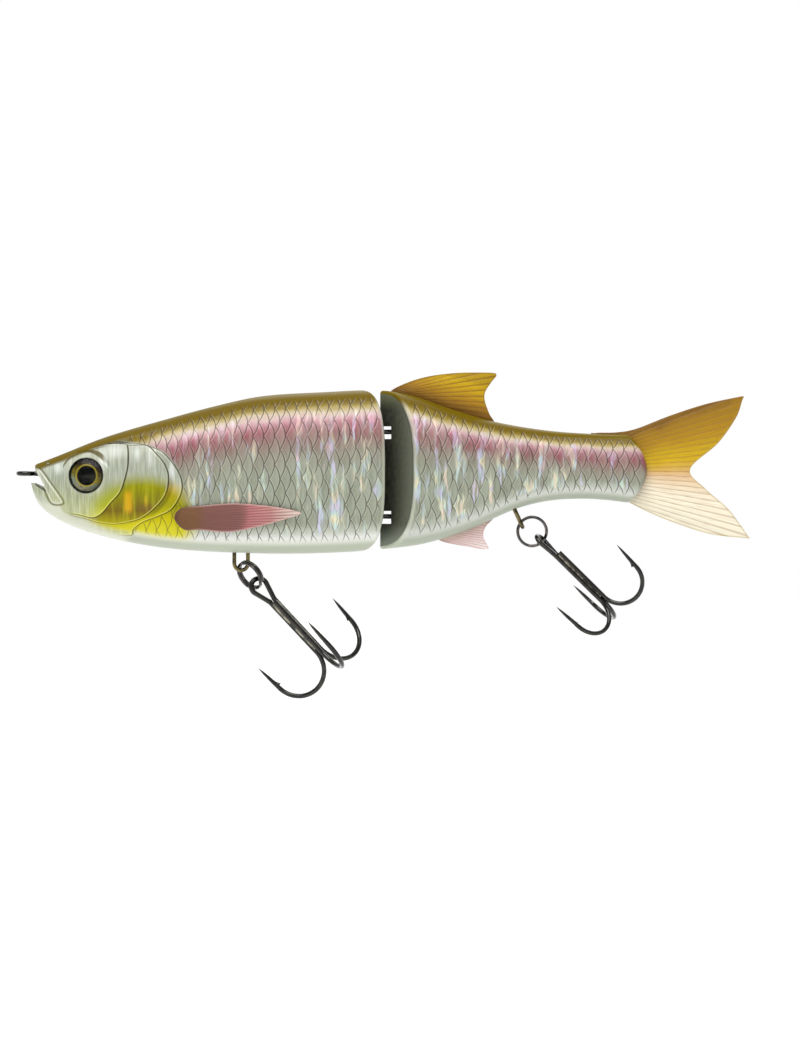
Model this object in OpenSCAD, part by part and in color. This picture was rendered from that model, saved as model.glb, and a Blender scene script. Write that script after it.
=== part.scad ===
// Two-section jointed swimbait: a hollow front section with the head, and a rear section
// that swings on a vertical pin, two treble hooks on split rings, and flexible fins.
// Millimetres. The origin is the centre of the line-tie eye, +X runs to the tail,
// +Y to the fish's right-hand side and +Z up.

/* [Body] */
// Half of the body's greatest width
body_half_width = 11.6; // [10.8:0.1:12.6]
// Wall thickness of the shells
wall = 1.8; // [1.4:0.1:2.2]
// Squareness of the cross-section, 2 is an ellipse
section_power = 2.8; // [2.4:0.1:3.0]
// Foremost point of the lower jaw
nose_x = 1.2; // [1.0:0.1:1.4]
// Number of steps along each shell
shell_steps = 24; // [16:1:30]
// Number of steps from the back to the belly
section_steps = 16; // [12:2:20]

/* [Hinge] */
// Place of the hinge pin along the body
pin_x = 92.9; // [92.5:0.1:93.3]
// Diameter of the hinge pin
pin_d = 1.2; // [1.0:0.05:1.3]
// Radial running clearance between the pin and the wire eyes
pin_clearance = 0.08; // [0.05:0.01:0.1]
// Height of the upper wire eye
upper_eye_z = 10.4; // [9:0.1:11]
// Height of the lower wire eye
lower_eye_z = -10.7; // [-11.5:0.1:-9]
// Radius of the pockets that the wire eyes turn in
pocket_r = 3.7; // [3.5:0.1:4]
// Height of those pockets
pocket_h = 3.2; // [3:0.1:3.8]
// Front edge of the rear section's wedge
wedge_x = 88.55; // [88.5:0.05:88.7]
// How far the wedge's sides run back for each millimetre outward
wedge_slope = 0.8; // [0.78:0.01:0.85]
// Depth of the hollow in the front section's rear face
rear_hollow = 1.6; // [1.4:0.1:1.8]

/* [Wire forms] */
// Diameter of the line-tie and hinge-eye wire
wire_d = 1.2; // [1.0:0.05:1.3]
// Outer diameter of the line-tie eye
line_tie_d = 4.8; // [4.4:0.1:5.2]
// Diameter of the hanger wire
hanger_wire_d = 1.0; // [0.9:0.05:1.1]
// Inner width of a hanger link
hanger_gap = 2.4; // [2.3:0.05:2.5]

/* [Split rings] */
// Outer diameter of a split ring
ring_d = 8.0; // [7.6:0.1:8.2]
// Thickness of a split ring's wire
ring_wire = 0.8; // [0.7:0.05:0.85]

/* [Belly treble] */
// Length from the eye's tip to the bends
belly_length = 32; // [30:0.5:34]
// Distance from the axis to the outside of a bend
belly_reach = 15.2; // [14:0.2:16]
// Wire diameter
belly_wire = 1.3; // [1.1:0.05:1.35]
// How far the shank trails below level, in degrees
belly_trail = 47; // [40:1:52]
// Turn of the single hook about the shank, in degrees
belly_turn = -102.5; // [-110:0.5:-90]

/* [Tail treble] */
// Length from the eye's tip to the bends
tail_length = 29.5; // [28:0.5:31]
// Distance from the axis to the outside of a bend
tail_reach = 12.8; // [12:0.1:14]
// Wire diameter
tail_wire = 1.2; // [1.0:0.05:1.25]
// How far the shank trails below level, in degrees
tail_trail = 44.6; // [40:0.2:48]
// Turn of the single hook about the shank, in degrees
tail_turn = -161; // [-165:0.5:-150]

/* [Eyes] */
// Diameter of an eye
eye_d = 8.8; // [8:0.1:9]
// Height of the clear dome
eye_dome_h = 1.5; // [1.2:0.1:1.8]
// Angle between the eye's axis and straight sideways
eye_toe_in = 11; // [8:1:14]

/* [Fins] */
// Thickness of the fins that stand on the seam
fin_t = 1.0; // [0.8:0.1:1.2]
// Thickness of a pectoral fin
pectoral_t = 0.9; // [0.7:0.1:1.1]
// Clearance around each fin's root in its slot
slot_clearance = 0.05; // [0.02:0.01:0.1]

/* [Hidden] */
$fn = 48;
TINY = 0.01;

// Outlines of the whole fish as [x, z], and its width as [x, share of body_half_width].
BACK = [[1.2, 1.8], [8, 4.4], [20, 9.1], [36, 13.8], [48, 17], [59, 19.3], [74, 20.3],
    [89, 20.75], [97, 19.3], [106, 16.2], [117, 13], [130, 10.8], [142, 9.9], [152, 9.7]];
BELLY = [[1.2, -3.9], [3.3, -7.6], [6, -10.1], [10, -12.4], [16, -14.7], [26, -17.2], [40, -19.1],
    [62, -20], [78, -19.7], [90, -18.8], [100, -17.4], [111, -13.9], [122, -9], [130, -6.9],
    [138, -6.3], [145, -6.6], [152, -7.5]];
WIDTH = [[1.2, 0.21], [4, 0.32], [9, 0.48], [16, 0.64], [25, 0.79], [36, 0.91], [50, 0.985],
    [62, 1], [76, 0.975], [89, 0.925], [97, 0.87], [106, 0.765], [117, 0.6], [128, 0.45],
    [140, 0.35], [155, 0.29]];
NOSE_ROUND = 1.7;
FIRST_X = nose_x + 0.15;
MOUTH = [[-2, -2.35], [2.4, -2.35], [4.6, -3.4], [4.95, -3.1], [4.5, -2.4], [4, -1.4],
    [3.4, -0.6], [2.7, 0.6], [2.4, 2], [2.2, 5], [-2, 5]];

// Rear end of the front section, as seen from the side: a rounded edge of this depth and power.
EDGE_X = 83.65;
EDGE_DEPTH = 6.15;
EDGE_POWER = 3;
SNOUT_SOLID = 8.5;
BULKHEAD = 4.2;

// Tail end of the rear section: an upright arc between these places.
TAIL_EDGE_X = 151.5;
TAIL_BULGE = 3.6;
WEDGE_SOLID_X = 98.5;
TAIL_SOLID_X = 141;

EYE_AT = [15.5, -7.5, -0.55];
PECTORAL_PEG = [41.5, -11.8];
BALLAST_CLEARANCE = 0.05;

LINE_TIE_POST_X = 14.6;
HINGE_POST_X = 79;
POST_LOOP_GAP = 2.4;
HANGER_AT = [53.8, -22.45];
HANGER_LENGTH = 5.4;
TAIL_HANGER_AT = [123.46, -11.9];
TAIL_HANGER_TILT = 24.7;
TAIL_HANGER_LENGTH = 5.6;

RING_R = (ring_d - ring_wire) / 2;
BELLY_RING_REST = 0.1;
BELLY_RING_DIP = 52;
BELLY_RING_TURN = -38;
TAIL_RING_AT = [126.52, -14.47];

// Height of a smooth curve through the points p at x.
function span(p, x, i = 0) = i >= len(p) - 2 || x <= p[i + 1][0] ? i : span(p, x, i + 1);
function slope(p, i) =
    let (a = max(i - 1, 0), b = min(i + 1, len(p) - 1)) (p[b][1] - p[a][1]) / (p[b][0] - p[a][0]);
function curve(p, x) =
    let (i = span(p, x), h = p[i + 1][0] - p[i][0], t = (x - p[i][0]) / h)
    (1 + 2 * t) * pow(1 - t, 2) * p[i][1] + t * pow(1 - t, 2) * h * slope(p, i)
    + t * t * (3 - 2 * t) * p[i + 1][1] + t * t * (t - 1) * h * slope(p, i + 1);

// Closed smooth outline through hand-picked points, with k steps between two of them.
function blend4(a, b, c, d, t) =
    0.5 * (2 * b + (c - a) * t + (2 * a - 5 * b + 4 * c - d) * t * t
    + (3 * b - a - 3 * c + d) * t * t * t);
function outline(p, k = 4) =
    [for (i = [0:len(p) - 1], s = [0:k - 1])
        blend4(p[(i + len(p) - 1) % len(p)], p[i], p[(i + 1) % len(p)], p[(i + 2) % len(p)], s / k)];

// A point of the body's skin at x, a degrees round from the back, on the left-hand side.
function nose(x) = sqrt(1 - pow(1 - min(1, (x - nose_x) / NOSE_ROUND), 2));
function round_off(v) = sign(v) * pow(abs(v), 2 / section_power);
function skin(x, a, inset = 0) =
    let (back = curve(BACK, x), belly = curve(BELLY, x), g = nose(x))
    [x, -(body_half_width * curve(WIDTH, x) * g - inset) * round_off(sin(a)),
        (back + belly) / 2 + ((back - belly) / 2 * g - inset) * round_off(cos(a))];
function turn(j) = 180 * j / section_steps;

// Ends of the two sections for each step j round the section.
function edge_x(j) =
    EDGE_X + EDGE_DEPTH * pow(1 - pow(abs(round_off(cos(turn(j)))), EDGE_POWER), 1 / EDGE_POWER);
function wedge_edge_x(j) = wedge_x + wedge_slope * -skin(wedge_x + 6, turn(j))[1];
function tail_edge_x(j) = TAIL_EDGE_X + TAIL_BULGE * (1 - pow(round_off(cos(turn(j))), 2));

// A half shell: rows of skin points outside and inside, closed at both ends and along the seam.
// ends are [front, rear] lists of seam points, one for each step between the back and the belly.
function grid_at(i, j) = i * (section_steps + 1) + j;
function mid_at(e, j) =
    j == 0 || j == section_steps ? grid_at(e * shell_steps, j)
    : (shell_steps + 1) * (section_steps + 1) + e * (section_steps - 1) + j - 1;
function block(rows, ends) = concat([for (r = rows) each r], ends[0], ends[1]);
function skin_faces() = concat(
    [for (i = [0:shell_steps - 1], j = [0:section_steps - 1])
        each [[grid_at(i, j), grid_at(i + 1, j), grid_at(i + 1, j + 1)],
            [grid_at(i, j), grid_at(i + 1, j + 1), grid_at(i, j + 1)]]],
    [for (j = [1:section_steps - 1]) [mid_at(0, j), grid_at(0, j), grid_at(0, j + 1)]],
    [for (j = [0:section_steps - 2]) [mid_at(0, j), grid_at(0, j + 1), mid_at(0, j + 1)]],
    [for (j = [1:section_steps - 1])
        [grid_at(shell_steps, j), mid_at(1, j), grid_at(shell_steps, j + 1)]],
    [for (j = [0:section_steps - 2])
        [mid_at(1, j), mid_at(1, j + 1), grid_at(shell_steps, j + 1)]]);
function seam() = concat(
    [for (i = [0:shell_steps]) grid_at(i, 0)],
    [for (j = [1:section_steps - 1]) mid_at(1, j)],
    [for (i = [shell_steps:-1:0]) grid_at(i, section_steps)],
    [for (j = [section_steps - 1:-1:1]) mid_at(0, j)]);
module half_shell(outer, outer_ends, inner, inner_ends) {
    outside = block(outer, outer_ends);
    o = len(outside);
    s = seam();
    polyhedron(
        points = concat(outside, block(inner, inner_ends)),
        faces = concat(
            skin_faces(),
            [for (f = skin_faces()) [o + f[2], o + f[1], o + f[0]]],
            [for (k = [0:len(s) - 1]) let (n = (k + 1) % len(s))
                each [[s[k], o + s[k], o + s[n]], [s[k], o + s[n], s[n]]]]),
        convexity = 8);
}
function rows(from, to, inset = 0, bunch = 1) =
    [for (i = [0:shell_steps]) [for (j = [0:section_steps])
        skin(from[j] + (to[j] - from[j]) * pow(i / shell_steps, bunch), turn(j), inset)]];
function seam_line(row, x) =
    [for (j = [1:section_steps - 1]) [is_list(x) ? x[j] : x, 0, row[j][2]]];

// Wire in one plane: a straight piece from a to b, and an arc about c, each with round section.
module rod_between(a, b, d) {
    v = b - a;
    translate(a)
        rotate([0, acos(v[2] / norm(v)), atan2(v[1], v[0])])
            cylinder(h = norm(v), d = d);
}
module arc(r, d, from, sweep) {
    rotate([0, 0, from])
        rotate_extrude(angle = sweep)
            translate([r, 0]) circle(d = d);
}
module ring(r, d) {
    rotate_extrude() translate([r, 0]) circle(d = d);
}
// Oval link in the XZ plane, its lower end round the origin and its upper end at z = length.
module oval_link(gap, length, d) {
    r = (gap + d) / 2;
    rotate([90, 0, 0]) {
        arc(r, d, 180, 180);
        translate([0, length, 0]) arc(r, d, 0, 180);
    }
    for (side = [-1, 1])
        translate([side * r, 0, 0]) cylinder(h = length, d = d);
}
// Wire eye with a straight shank along +X that ends in a loop round a post.
module shank_eye(eye_r, shank_end) {
    loop_r = (POST_LOOP_GAP + wire_d) / 2;
    ring(eye_r, wire_d);
    translate([shank_end, 0, 0]) rotate([90, 0, 0]) ring(loop_r, wire_d);
    side = sign(shank_end);
    rod_between([side * eye_r, 0, 0], [shank_end - side * loop_r, 0, 0], wire_d);
}
module post(x, z, depth) {
    translate([x, 0, z]) rotate([90, 0, 0]) cylinder(h = depth, d = POST_LOOP_GAP - 0.1);
}
// Cradle plate that holds a round slug, from the seam outward.
module cradle(x, z_low, z_high, depth) {
    translate([x, -depth, z_low]) cube([1.6, depth, z_high - z_low]);
}
module slug(x, z, r, length) {
    translate([x, 0, z]) rotate([0, 90, 0]) cylinder(h = length, r = r);
}

module forward_slug(extra = 0) { slug(30.5, -11, 4 + extra, 18); }
module belly_slug(extra = 0) { slug(56.5, -12.8, 4.8 + extra, 18.5); }
module rear_slug(extra = 0) { slug(100, -7.8, 3 + extra, 11); }

// The eye's own frame: its axis runs outward along +Z from the floor of its socket.
module at_eye() {
    translate(EYE_AT) rotate([90, 0, -eye_toe_in]) children();
}
module front_half() {
    edge = [for (j = [0:section_steps]) edge_x(j)];
    front = [for (j = [0:section_steps]) FIRST_X];
    inner_edge = [for (x = edge) x - BULKHEAD];
    inner_front = [for (x = front) SNOUT_SOLID];
    outer = rows(front, edge, bunch = 1.4);
    inner = rows(inner_front, inner_edge, wall);
    last = outer[shell_steps];
    hollow = [for (j = [0:section_steps]) last[j][0] + rear_hollow * last[j][1] / body_half_width];
    difference() {
        union() {
            half_shell(outer, [seam_line(outer[0], FIRST_X), seam_line(last, hollow)],
                inner, [seam_line(inner[0], SNOUT_SOLID), seam_line(inner[shell_steps], inner_edge)]);
            at_eye() translate([0, 0, -3.4]) cylinder(h = 2.6, d = eye_d + 1.2);
            post(LINE_TIE_POST_X, 0, 5.5);
            post(HANGER_AT[0], HANGER_AT[1] + HANGER_LENGTH, 7.4);
            post(HINGE_POST_X, upper_eye_z, 9.6);
            post(HINGE_POST_X, lower_eye_z, 9.4);
            cradle(34, -15.4, -5, 6.8);
            cradle(43.5, -16, -5, 7);
            cradle(59, -17.2, -6, 7);
            cradle(70.5, -17.2, -6, 7);
            translate([PECTORAL_PEG[0], -8.9, PECTORAL_PEG[1]])
                rotate([90, 0, 0]) translate([0, 0, -2.4]) cylinder(h = 2.6, d = 6);
        }
        translate([0, TINY, 0]) rotate([90, 0, 0])
            linear_extrude(height = body_half_width + 1) polygon(MOUTH);
        at_eye() translate([0, 0, -1.2]) cylinder(h = 12, d = eye_d + 0.1);
        line_tie();
        belly_hanger();
        hinge_eye(upper_eye_z);
        hinge_eye(lower_eye_z);
        forward_slug(BALLAST_CLEARANCE);
        belly_slug(BALLAST_CLEARANCE);
        pectoral_peg(slot_clearance);
    }
}
module rear_half() {
    edge = [for (j = [0:section_steps]) wedge_edge_x(j)];
    tail = [for (j = [0:section_steps]) tail_edge_x(j)];
    inner_edge = [for (x = edge) WEDGE_SOLID_X];
    inner_tail = [for (x = tail) TAIL_SOLID_X];
    outer = rows(edge, tail);
    inner = rows(inner_edge, inner_tail, wall);
    difference() {
        union() {
            half_shell(outer, [seam_line(outer[0], wedge_x), seam_line(outer[shell_steps], tail)],
                inner, [seam_line(inner[0], WEDGE_SOLID_X),
                    seam_line(inner[shell_steps], TAIL_SOLID_X)]);
            cradle(102, -13.4, -3, 6.2);
            cradle(108, -11.6, -3, 5.8);
            translate([117.2, -3.2, -7.2]) cube([6.6, 3.2, 6.2]);
        }
        for (z = [upper_eye_z - 0.2, lower_eye_z - 0.25]) {
            translate([pin_x, 0, z - pocket_h / 2]) cylinder(h = pocket_h, r = pocket_r);
            translate([pin_x - 6, -3, z - pocket_h / 2]) cube([4, 6, pocket_h]);
        }
        pin();
        tail_hanger();
        rear_slug(BALLAST_CLEARANCE);
        fin_plate(DORSAL_ROOT, fin_t + 2 * slot_clearance);
        fin_plate(ANAL_ROOT, fin_t + 2 * slot_clearance);
        fin_plate(TAIL_SLOT, fin_t + 2 * slot_clearance);
    }
}
module front_shell_left() { color([0.72, 0.74, 0.66]) front_half(); }
module front_shell_right() { color([0.66, 0.7, 0.62]) mirror([0, 1, 0]) front_half(); }
module rear_shell_left() { color([0.74, 0.72, 0.68]) rear_half(); }
module rear_shell_right() { color([0.68, 0.68, 0.64]) mirror([0, 1, 0]) rear_half(); }

module line_tie() {
    shank_eye((line_tie_d - wire_d) / 2, LINE_TIE_POST_X);
}
module line_tie_wire() { color([0.2, 0.19, 0.17]) line_tie(); }

module belly_hanger() {
    translate([HANGER_AT[0], 0, HANGER_AT[1]]) oval_link(hanger_gap, HANGER_LENGTH, hanger_wire_d);
}
module belly_hanger_wire() { color([0.22, 0.21, 0.19]) belly_hanger(); }

module tail_hanger() {
    translate([TAIL_HANGER_AT[0], 0, TAIL_HANGER_AT[1]])
        rotate([0, -TAIL_HANGER_TILT, 0]) rotate([0, 0, 90])
            oval_link(hanger_gap, TAIL_HANGER_LENGTH, hanger_wire_d);
}
module tail_hanger_wire() { color([0.22, 0.21, 0.19]) tail_hanger(); }

module hinge_eye(z) {
    eye_r = (pin_d + wire_d) / 2 + pin_clearance;
    translate([pin_x, 0, z]) shank_eye(eye_r, HINGE_POST_X - pin_x);
}
module upper_hinge_eye() { color([0.25, 0.24, 0.22]) hinge_eye(upper_eye_z); }
module lower_hinge_eye() { color([0.25, 0.24, 0.22]) hinge_eye(lower_eye_z); }

module pin() {
    foot = curve(BELLY, pin_x) + 0.15;
    translate([pin_x, 0, foot]) cylinder(h = 16.4 - foot, d = pin_d);
    translate([pin_x, 0, foot]) cylinder(h = 0.9, d = pin_d + 0.8);
}
module hinge_pin() { color([0.5, 0.5, 0.48]) pin(); }

module forward_ballast() { color([0.35, 0.35, 0.37]) forward_slug(); }
module belly_ballast() { color([0.35, 0.35, 0.37]) belly_slug(); }
module rear_ballast() { color([0.35, 0.35, 0.37]) rear_slug(); }

// Printed disc at the socket's floor, and the clear dome that covers it.
DISC_T = 0.4;
module eye_disc() {
    at_eye() translate([0, 0, -1.2]) cylinder(h = DISC_T, d = eye_d);
}
module eye_dome() {
    rim = 1.2 - DISC_T;
    cap_r = (pow(eye_d / 2, 2) + pow(eye_dome_h, 2)) / (2 * eye_dome_h);
    at_eye() translate([0, 0, -rim]) {
        intersection() {
            cylinder(h = rim + eye_dome_h, d = eye_d);
            translate([0, 0, rim + eye_dome_h - cap_r]) sphere(r = cap_r, $fn = 64);
        }
    }
}
module left_eye_disc() { color([0.75, 0.72, 0.2]) eye_disc(); }
module right_eye_disc() { color([0.75, 0.72, 0.2]) mirror([0, 1, 0]) eye_disc(); }
module left_eye_dome() { color([0.8, 0.85, 0.85, 0.4]) eye_dome(); }
module right_eye_dome() { color([0.8, 0.85, 0.85, 0.4]) mirror([0, 1, 0]) eye_dome(); }

// Fins. Each outline is [x, z]; a root runs below the skin into its slot.
PECTORAL = [[37.7, -11], [39.3, -8.7], [44, -8], [52, -7.3], [60, -7.8], [66, -8.7], [69, -9.75],
    [65, -11.2], [58, -13.2], [51, -14.5], [44, -14], [40, -13.9]];
DORSAL = [[91.2, 20.6], [95.5, 22.8], [100.7, 24.3], [107, 25.1], [113.5, 25.25], [117.6, 24.9],
    [116.3, 22.8], [114.8, 20.4], [114.7, 18.2], [115.8, 15], [117, 12.2], [110, 14.3],
    [104, 15.8], [98, 17.6], [92.6, 19.2]];
DORSAL_ROOT = [[90.8, 22], [90.8, 19], [98, 17.2], [104, 15.3], [110, 13.4], [117.8, 11.2],
    [117.8, 16]];
ANAL = [[102.8, -15.4], [104.5, -17.1], [110.3, -18.2], [115.5, -18.9], [114.3, -15.8],
    [114.9, -13.3], [117.2, -10.4], [110, -12.7]];
ANAL_ROOT = [[102.2, -19], [102.2, -15], [110, -12.2], [117.9, -9.7], [117.9, -14]];
TAIL = [[143, 8.4], [152, 11.1], [161, 14.5], [170, 17.4], [179.4, 19.3], [177.5, 14],
    [173, 7.6], [166, 1.1], [169.6, -3.6], [175.3, -8.6], [178.4, -12.6], [180.9, -16.2],
    [171.5, -15.2], [163.5, -12.8], [156, -9.8], [149.5, -6.6], [145.5, -5.2], [144, 1.5]];
TAIL_SLOT = [[142, 12], [142, 7], [143.4, 1.5], [144.4, -6], [149, -10], [158, -14], [158, 14]];
module fin_plate(points, t) {
    translate([0, t / 2, 0]) rotate([90, 0, 0]) linear_extrude(height = t) polygon(points);
}
module tail_fin() { color([0.85, 0.72, 0.35]) fin_plate(outline(TAIL, 3), fin_t); }
module dorsal_fin() { color([0.78, 0.62, 0.12]) fin_plate(outline(DORSAL, 3), fin_t); }
module anal_fin() { color([0.9, 0.68, 0.68]) fin_plate(outline(ANAL, 3), fin_t); }

// A pectoral fin lies along the flank and plugs into it with a round peg.
PECTORAL_Y = -10.55;
module pectoral_peg(extra = 0) {
    translate([PECTORAL_PEG[0], PECTORAL_Y, PECTORAL_PEG[1]]) rotate([90, 0, 0])
        translate([0, 0, -2.6]) cylinder(h = 2.9, r = 1.6 + extra);
}
module pectoral_fin() {
    pectoral_peg();
    translate([PECTORAL_PEG[0], PECTORAL_Y, PECTORAL_PEG[1]])
        rotate([9, 0, -2]) rotate([90, 0, 0])
            linear_extrude(height = pectoral_t)
                translate([-PECTORAL_PEG[0], -PECTORAL_PEG[1]]) polygon(outline(PECTORAL, 3));
}
module left_pectoral_fin() { color([0.85, 0.55, 0.55]) pectoral_fin(); }
module right_pectoral_fin() { color([0.85, 0.55, 0.55]) mirror([0, 1, 0]) pectoral_fin(); }

// Split ring: two turns of wire side by side, as one round-cornered section, about its own Z.
module split_ring() {
    rotate_extrude() {
        for (side = [-1, 1]) translate([RING_R, side * ring_wire / 2]) circle(d = ring_wire);
        translate([RING_R - ring_wire / 2, -ring_wire / 2]) square(ring_wire);
    }
}
module belly_split_ring() {
    color([0.3, 0.29, 0.27])
        translate([HANGER_AT[0], 0, HANGER_AT[1]]) rotate([0, BELLY_RING_DIP, 0])
            translate([BELLY_RING_REST + RING_R, 0, 0]) rotate([BELLY_RING_TURN, 0, 0])
                split_ring();
}
module tail_split_ring() {
    color([0.3, 0.29, 0.27])
        translate([TAIL_RING_AT[0], 0, TAIL_RING_AT[1]]) rotate([90, 0, 0]) split_ring();
}

// Hook wire is swept along a path of [point, normal to the bend's plane, radius, barb height].
WIRE_SIDES = 10;
BEND_STEPS = 10;
POINT_FLARE = 4;
POINT_SHARE = 0.545;
SHANK_GAP = 0.06;
function unit(v) = v / norm(v);
function path_way(path, i) = unit(path[min(i + 1, len(path) - 1)][0] - path[max(i - 1, 0)][0]);
module wire_sweep(path) {
    last = len(path) - 1;
    function at(i, k) = i * WIRE_SIDES + k % WIRE_SIDES;
    polyhedron(
        points = [for (i = [0:last])
            let (way = path_way(path, i), inward = unit(cross(path[i][1], way)),
                across = cross(way, inward))
            for (k = [0:WIRE_SIDES - 1])
                let (a = 360 * k / WIRE_SIDES)
                path[i][0] + path[i][2] * (cos(a) * inward + sin(a) * across)
                + (k == 0 ? path[i][3] : 0) * inward],
        faces = concat(
            [[for (k = [0:WIRE_SIDES - 1]) k], [for (k = [WIRE_SIDES - 1:-1:0]) at(last, k)]],
            [for (i = [0:last - 1], k = [0:WIRE_SIDES - 1])
                each [[at(i + 1, k), at(i + 1, k + 1), at(i, k + 1)],
                    [at(i + 1, k), at(i, k + 1), at(i, k)]]]),
        convexity = 8);
}

function shank_offset(d) = (d + SHANK_GAP) / sqrt(3);
function treble_eye_r(d) = 1.55 * d;
function treble_tip(d) = treble_eye_r(d) + d / 2;

// One hook from its point, round the bend and up the shank, in the plane at this azimuth.
// The shank runs along Z, and the eye end is at z = shank_start.
function hook_path(length, reach, d, azimuth, shank_start, facing) =
    let (out = [cos(azimuth), sin(azimuth), 0], across = facing * [-sin(azimuth), cos(azimuth), 0],
        near = shank_offset(d), bend_r = (reach - d / 2 - near) / 2,
        bend_z = length - d / 2 - bend_r, tip_z = POINT_SHARE * length,
        end_z = bend_z + bend_r * sin(POINT_FLARE),
        end_out = near + bend_r * (1 + cos(POINT_FLARE)))
    concat(
        [for (s = [[0, 0.06, 0], [0.35, 0.62, 0], [0.68, 0.84, 0], [0.9, 0.94, 0.42], [0.94, 0.96, 0]])
            let (back = end_z - (end_z - tip_z) * (1 - s[0]))
            [out * (end_out + (end_z - back) * tan(POINT_FLARE)) + [0, 0, back],
                across, s[1] * d / 2, s[2] * d]],
        [for (k = [0:BEND_STEPS])
            let (a = POINT_FLARE + (180 - POINT_FLARE) * k / BEND_STEPS)
            [out * (near + bend_r + bend_r * cos(a)) + [0, 0, bend_z + bend_r * sin(a)],
                across, d / 2, 0]],
        [for (z = [(bend_z + shank_start) / 2, shank_start]) [out * near + [0, 0, z], across, d / 2, 0]]);

// A double hook is bent from one wire: an eye in the YZ plane with its tip at the origin, and
// two shanks side by side. The third hook of a treble is brazed on beside them.
EYE_STEPS = 14;
function reversed(list) = [for (i = [len(list) - 1:-1:0]) list[i]];
function eye_path(d, shank_start) =
    let (side = (d + SHANK_GAP) / 2, drop = shank_start - treble_tip(d),
        lean = asin(treble_eye_r(d) / norm([side, drop])) - atan2(side, drop))
    [for (k = [0:EYE_STEPS])
        let (a = lean - (180 + 2 * lean) * k / EYE_STEPS)
        [[-shank_offset(d) / 2, treble_eye_r(d) * cos(a), treble_tip(d) + treble_eye_r(d) * sin(a)],
            [1, 0, 0], d / 2, 0]];
module single_hook(length, reach, d) {
    wire_sweep(hook_path(length, reach, d, 0, 2 * treble_tip(d) + 2 * d, -1));
}
module double_hook(length, reach, d) {
    shank_start = 2 * treble_tip(d) + 1.6 * d;
    wire_sweep(concat(hook_path(length, reach, d, 120, shank_start, -1), eye_path(d, shank_start),
        reversed(hook_path(length, reach, d, -120, shank_start, 1))));
}
// Puts a treble's eye round the far side of its split ring at the point [x, z].
module at_ring_end(at, d, trail, spin) {
    translate([at[0], 0, at[1]])
        rotate([0, 90 + trail, 0]) rotate([0, 0, spin])
            translate([shank_offset(d) / 2, 0, -treble_tip(d)]) children();
}
module at_belly_treble() {
    reach_out = BELLY_RING_REST + 2 * RING_R;
    at_ring_end(HANGER_AT + reach_out * [cos(BELLY_RING_DIP), -sin(BELLY_RING_DIP)],
        belly_wire, belly_trail, belly_turn) children();
}
module at_tail_treble() {
    at_ring_end(TAIL_RING_AT + RING_R * [cos(tail_trail), -sin(tail_trail)],
        tail_wire, tail_trail, tail_turn) children();
}
module belly_double_hook() {
    color([0.25, 0.24, 0.22]) at_belly_treble() double_hook(belly_length, belly_reach, belly_wire);
}
module belly_single_hook() {
    color([0.32, 0.31, 0.28]) at_belly_treble() single_hook(belly_length, belly_reach, belly_wire);
}
module tail_double_hook() {
    color([0.25, 0.24, 0.22]) at_tail_treble() double_hook(tail_length, tail_reach, tail_wire);
}
module tail_single_hook() {
    color([0.32, 0.31, 0.28]) at_tail_treble() single_hook(tail_length, tail_reach, tail_wire);
}

front_shell_left();
front_shell_right();
line_tie_wire();
belly_hanger_wire();
upper_hinge_eye();
lower_hinge_eye();
forward_ballast();
belly_ballast();
left_eye_disc();
right_eye_disc();
left_eye_dome();
right_eye_dome();
left_pectoral_fin();
right_pectoral_fin();
rear_shell_left();
rear_shell_right();
hinge_pin();
tail_hanger_wire();
rear_ballast();
tail_fin();
dorsal_fin();
anal_fin();
belly_split_ring();
belly_double_hook();
belly_single_hook();
tail_split_ring();
tail_double_hook();
tail_single_hook();
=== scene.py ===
"""Looks of the two-section jointed swimbait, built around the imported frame.

Lengths in this file are millimetres until a mesh is made, and metres after that.
+X runs to the tail, +Y to the fish's right-hand side and +Z up.
"""

import math

import bmesh
import bpy
import numpy as np
from mathutils import Matrix, Vector
from mathutils.geometry import delaunay_2d_cdt


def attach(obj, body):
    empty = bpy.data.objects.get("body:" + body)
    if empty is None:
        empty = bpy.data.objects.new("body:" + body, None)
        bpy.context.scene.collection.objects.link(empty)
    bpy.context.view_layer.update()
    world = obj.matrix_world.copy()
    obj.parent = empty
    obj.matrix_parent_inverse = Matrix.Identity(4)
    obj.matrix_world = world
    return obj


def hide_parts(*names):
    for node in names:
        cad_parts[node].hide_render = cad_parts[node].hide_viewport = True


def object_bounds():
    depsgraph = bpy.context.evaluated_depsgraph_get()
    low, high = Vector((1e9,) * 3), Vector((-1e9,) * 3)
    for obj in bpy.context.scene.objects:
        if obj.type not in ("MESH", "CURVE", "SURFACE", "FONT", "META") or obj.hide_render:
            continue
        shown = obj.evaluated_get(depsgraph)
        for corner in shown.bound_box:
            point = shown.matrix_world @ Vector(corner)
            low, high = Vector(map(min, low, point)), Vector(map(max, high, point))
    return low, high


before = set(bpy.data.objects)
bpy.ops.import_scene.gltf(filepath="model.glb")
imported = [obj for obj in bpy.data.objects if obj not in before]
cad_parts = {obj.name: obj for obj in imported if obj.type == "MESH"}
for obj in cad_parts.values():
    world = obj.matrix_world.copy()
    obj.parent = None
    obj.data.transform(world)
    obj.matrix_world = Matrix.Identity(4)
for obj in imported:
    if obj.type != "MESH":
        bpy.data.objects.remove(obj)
cad_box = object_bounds()
MM = 0.001

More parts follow.
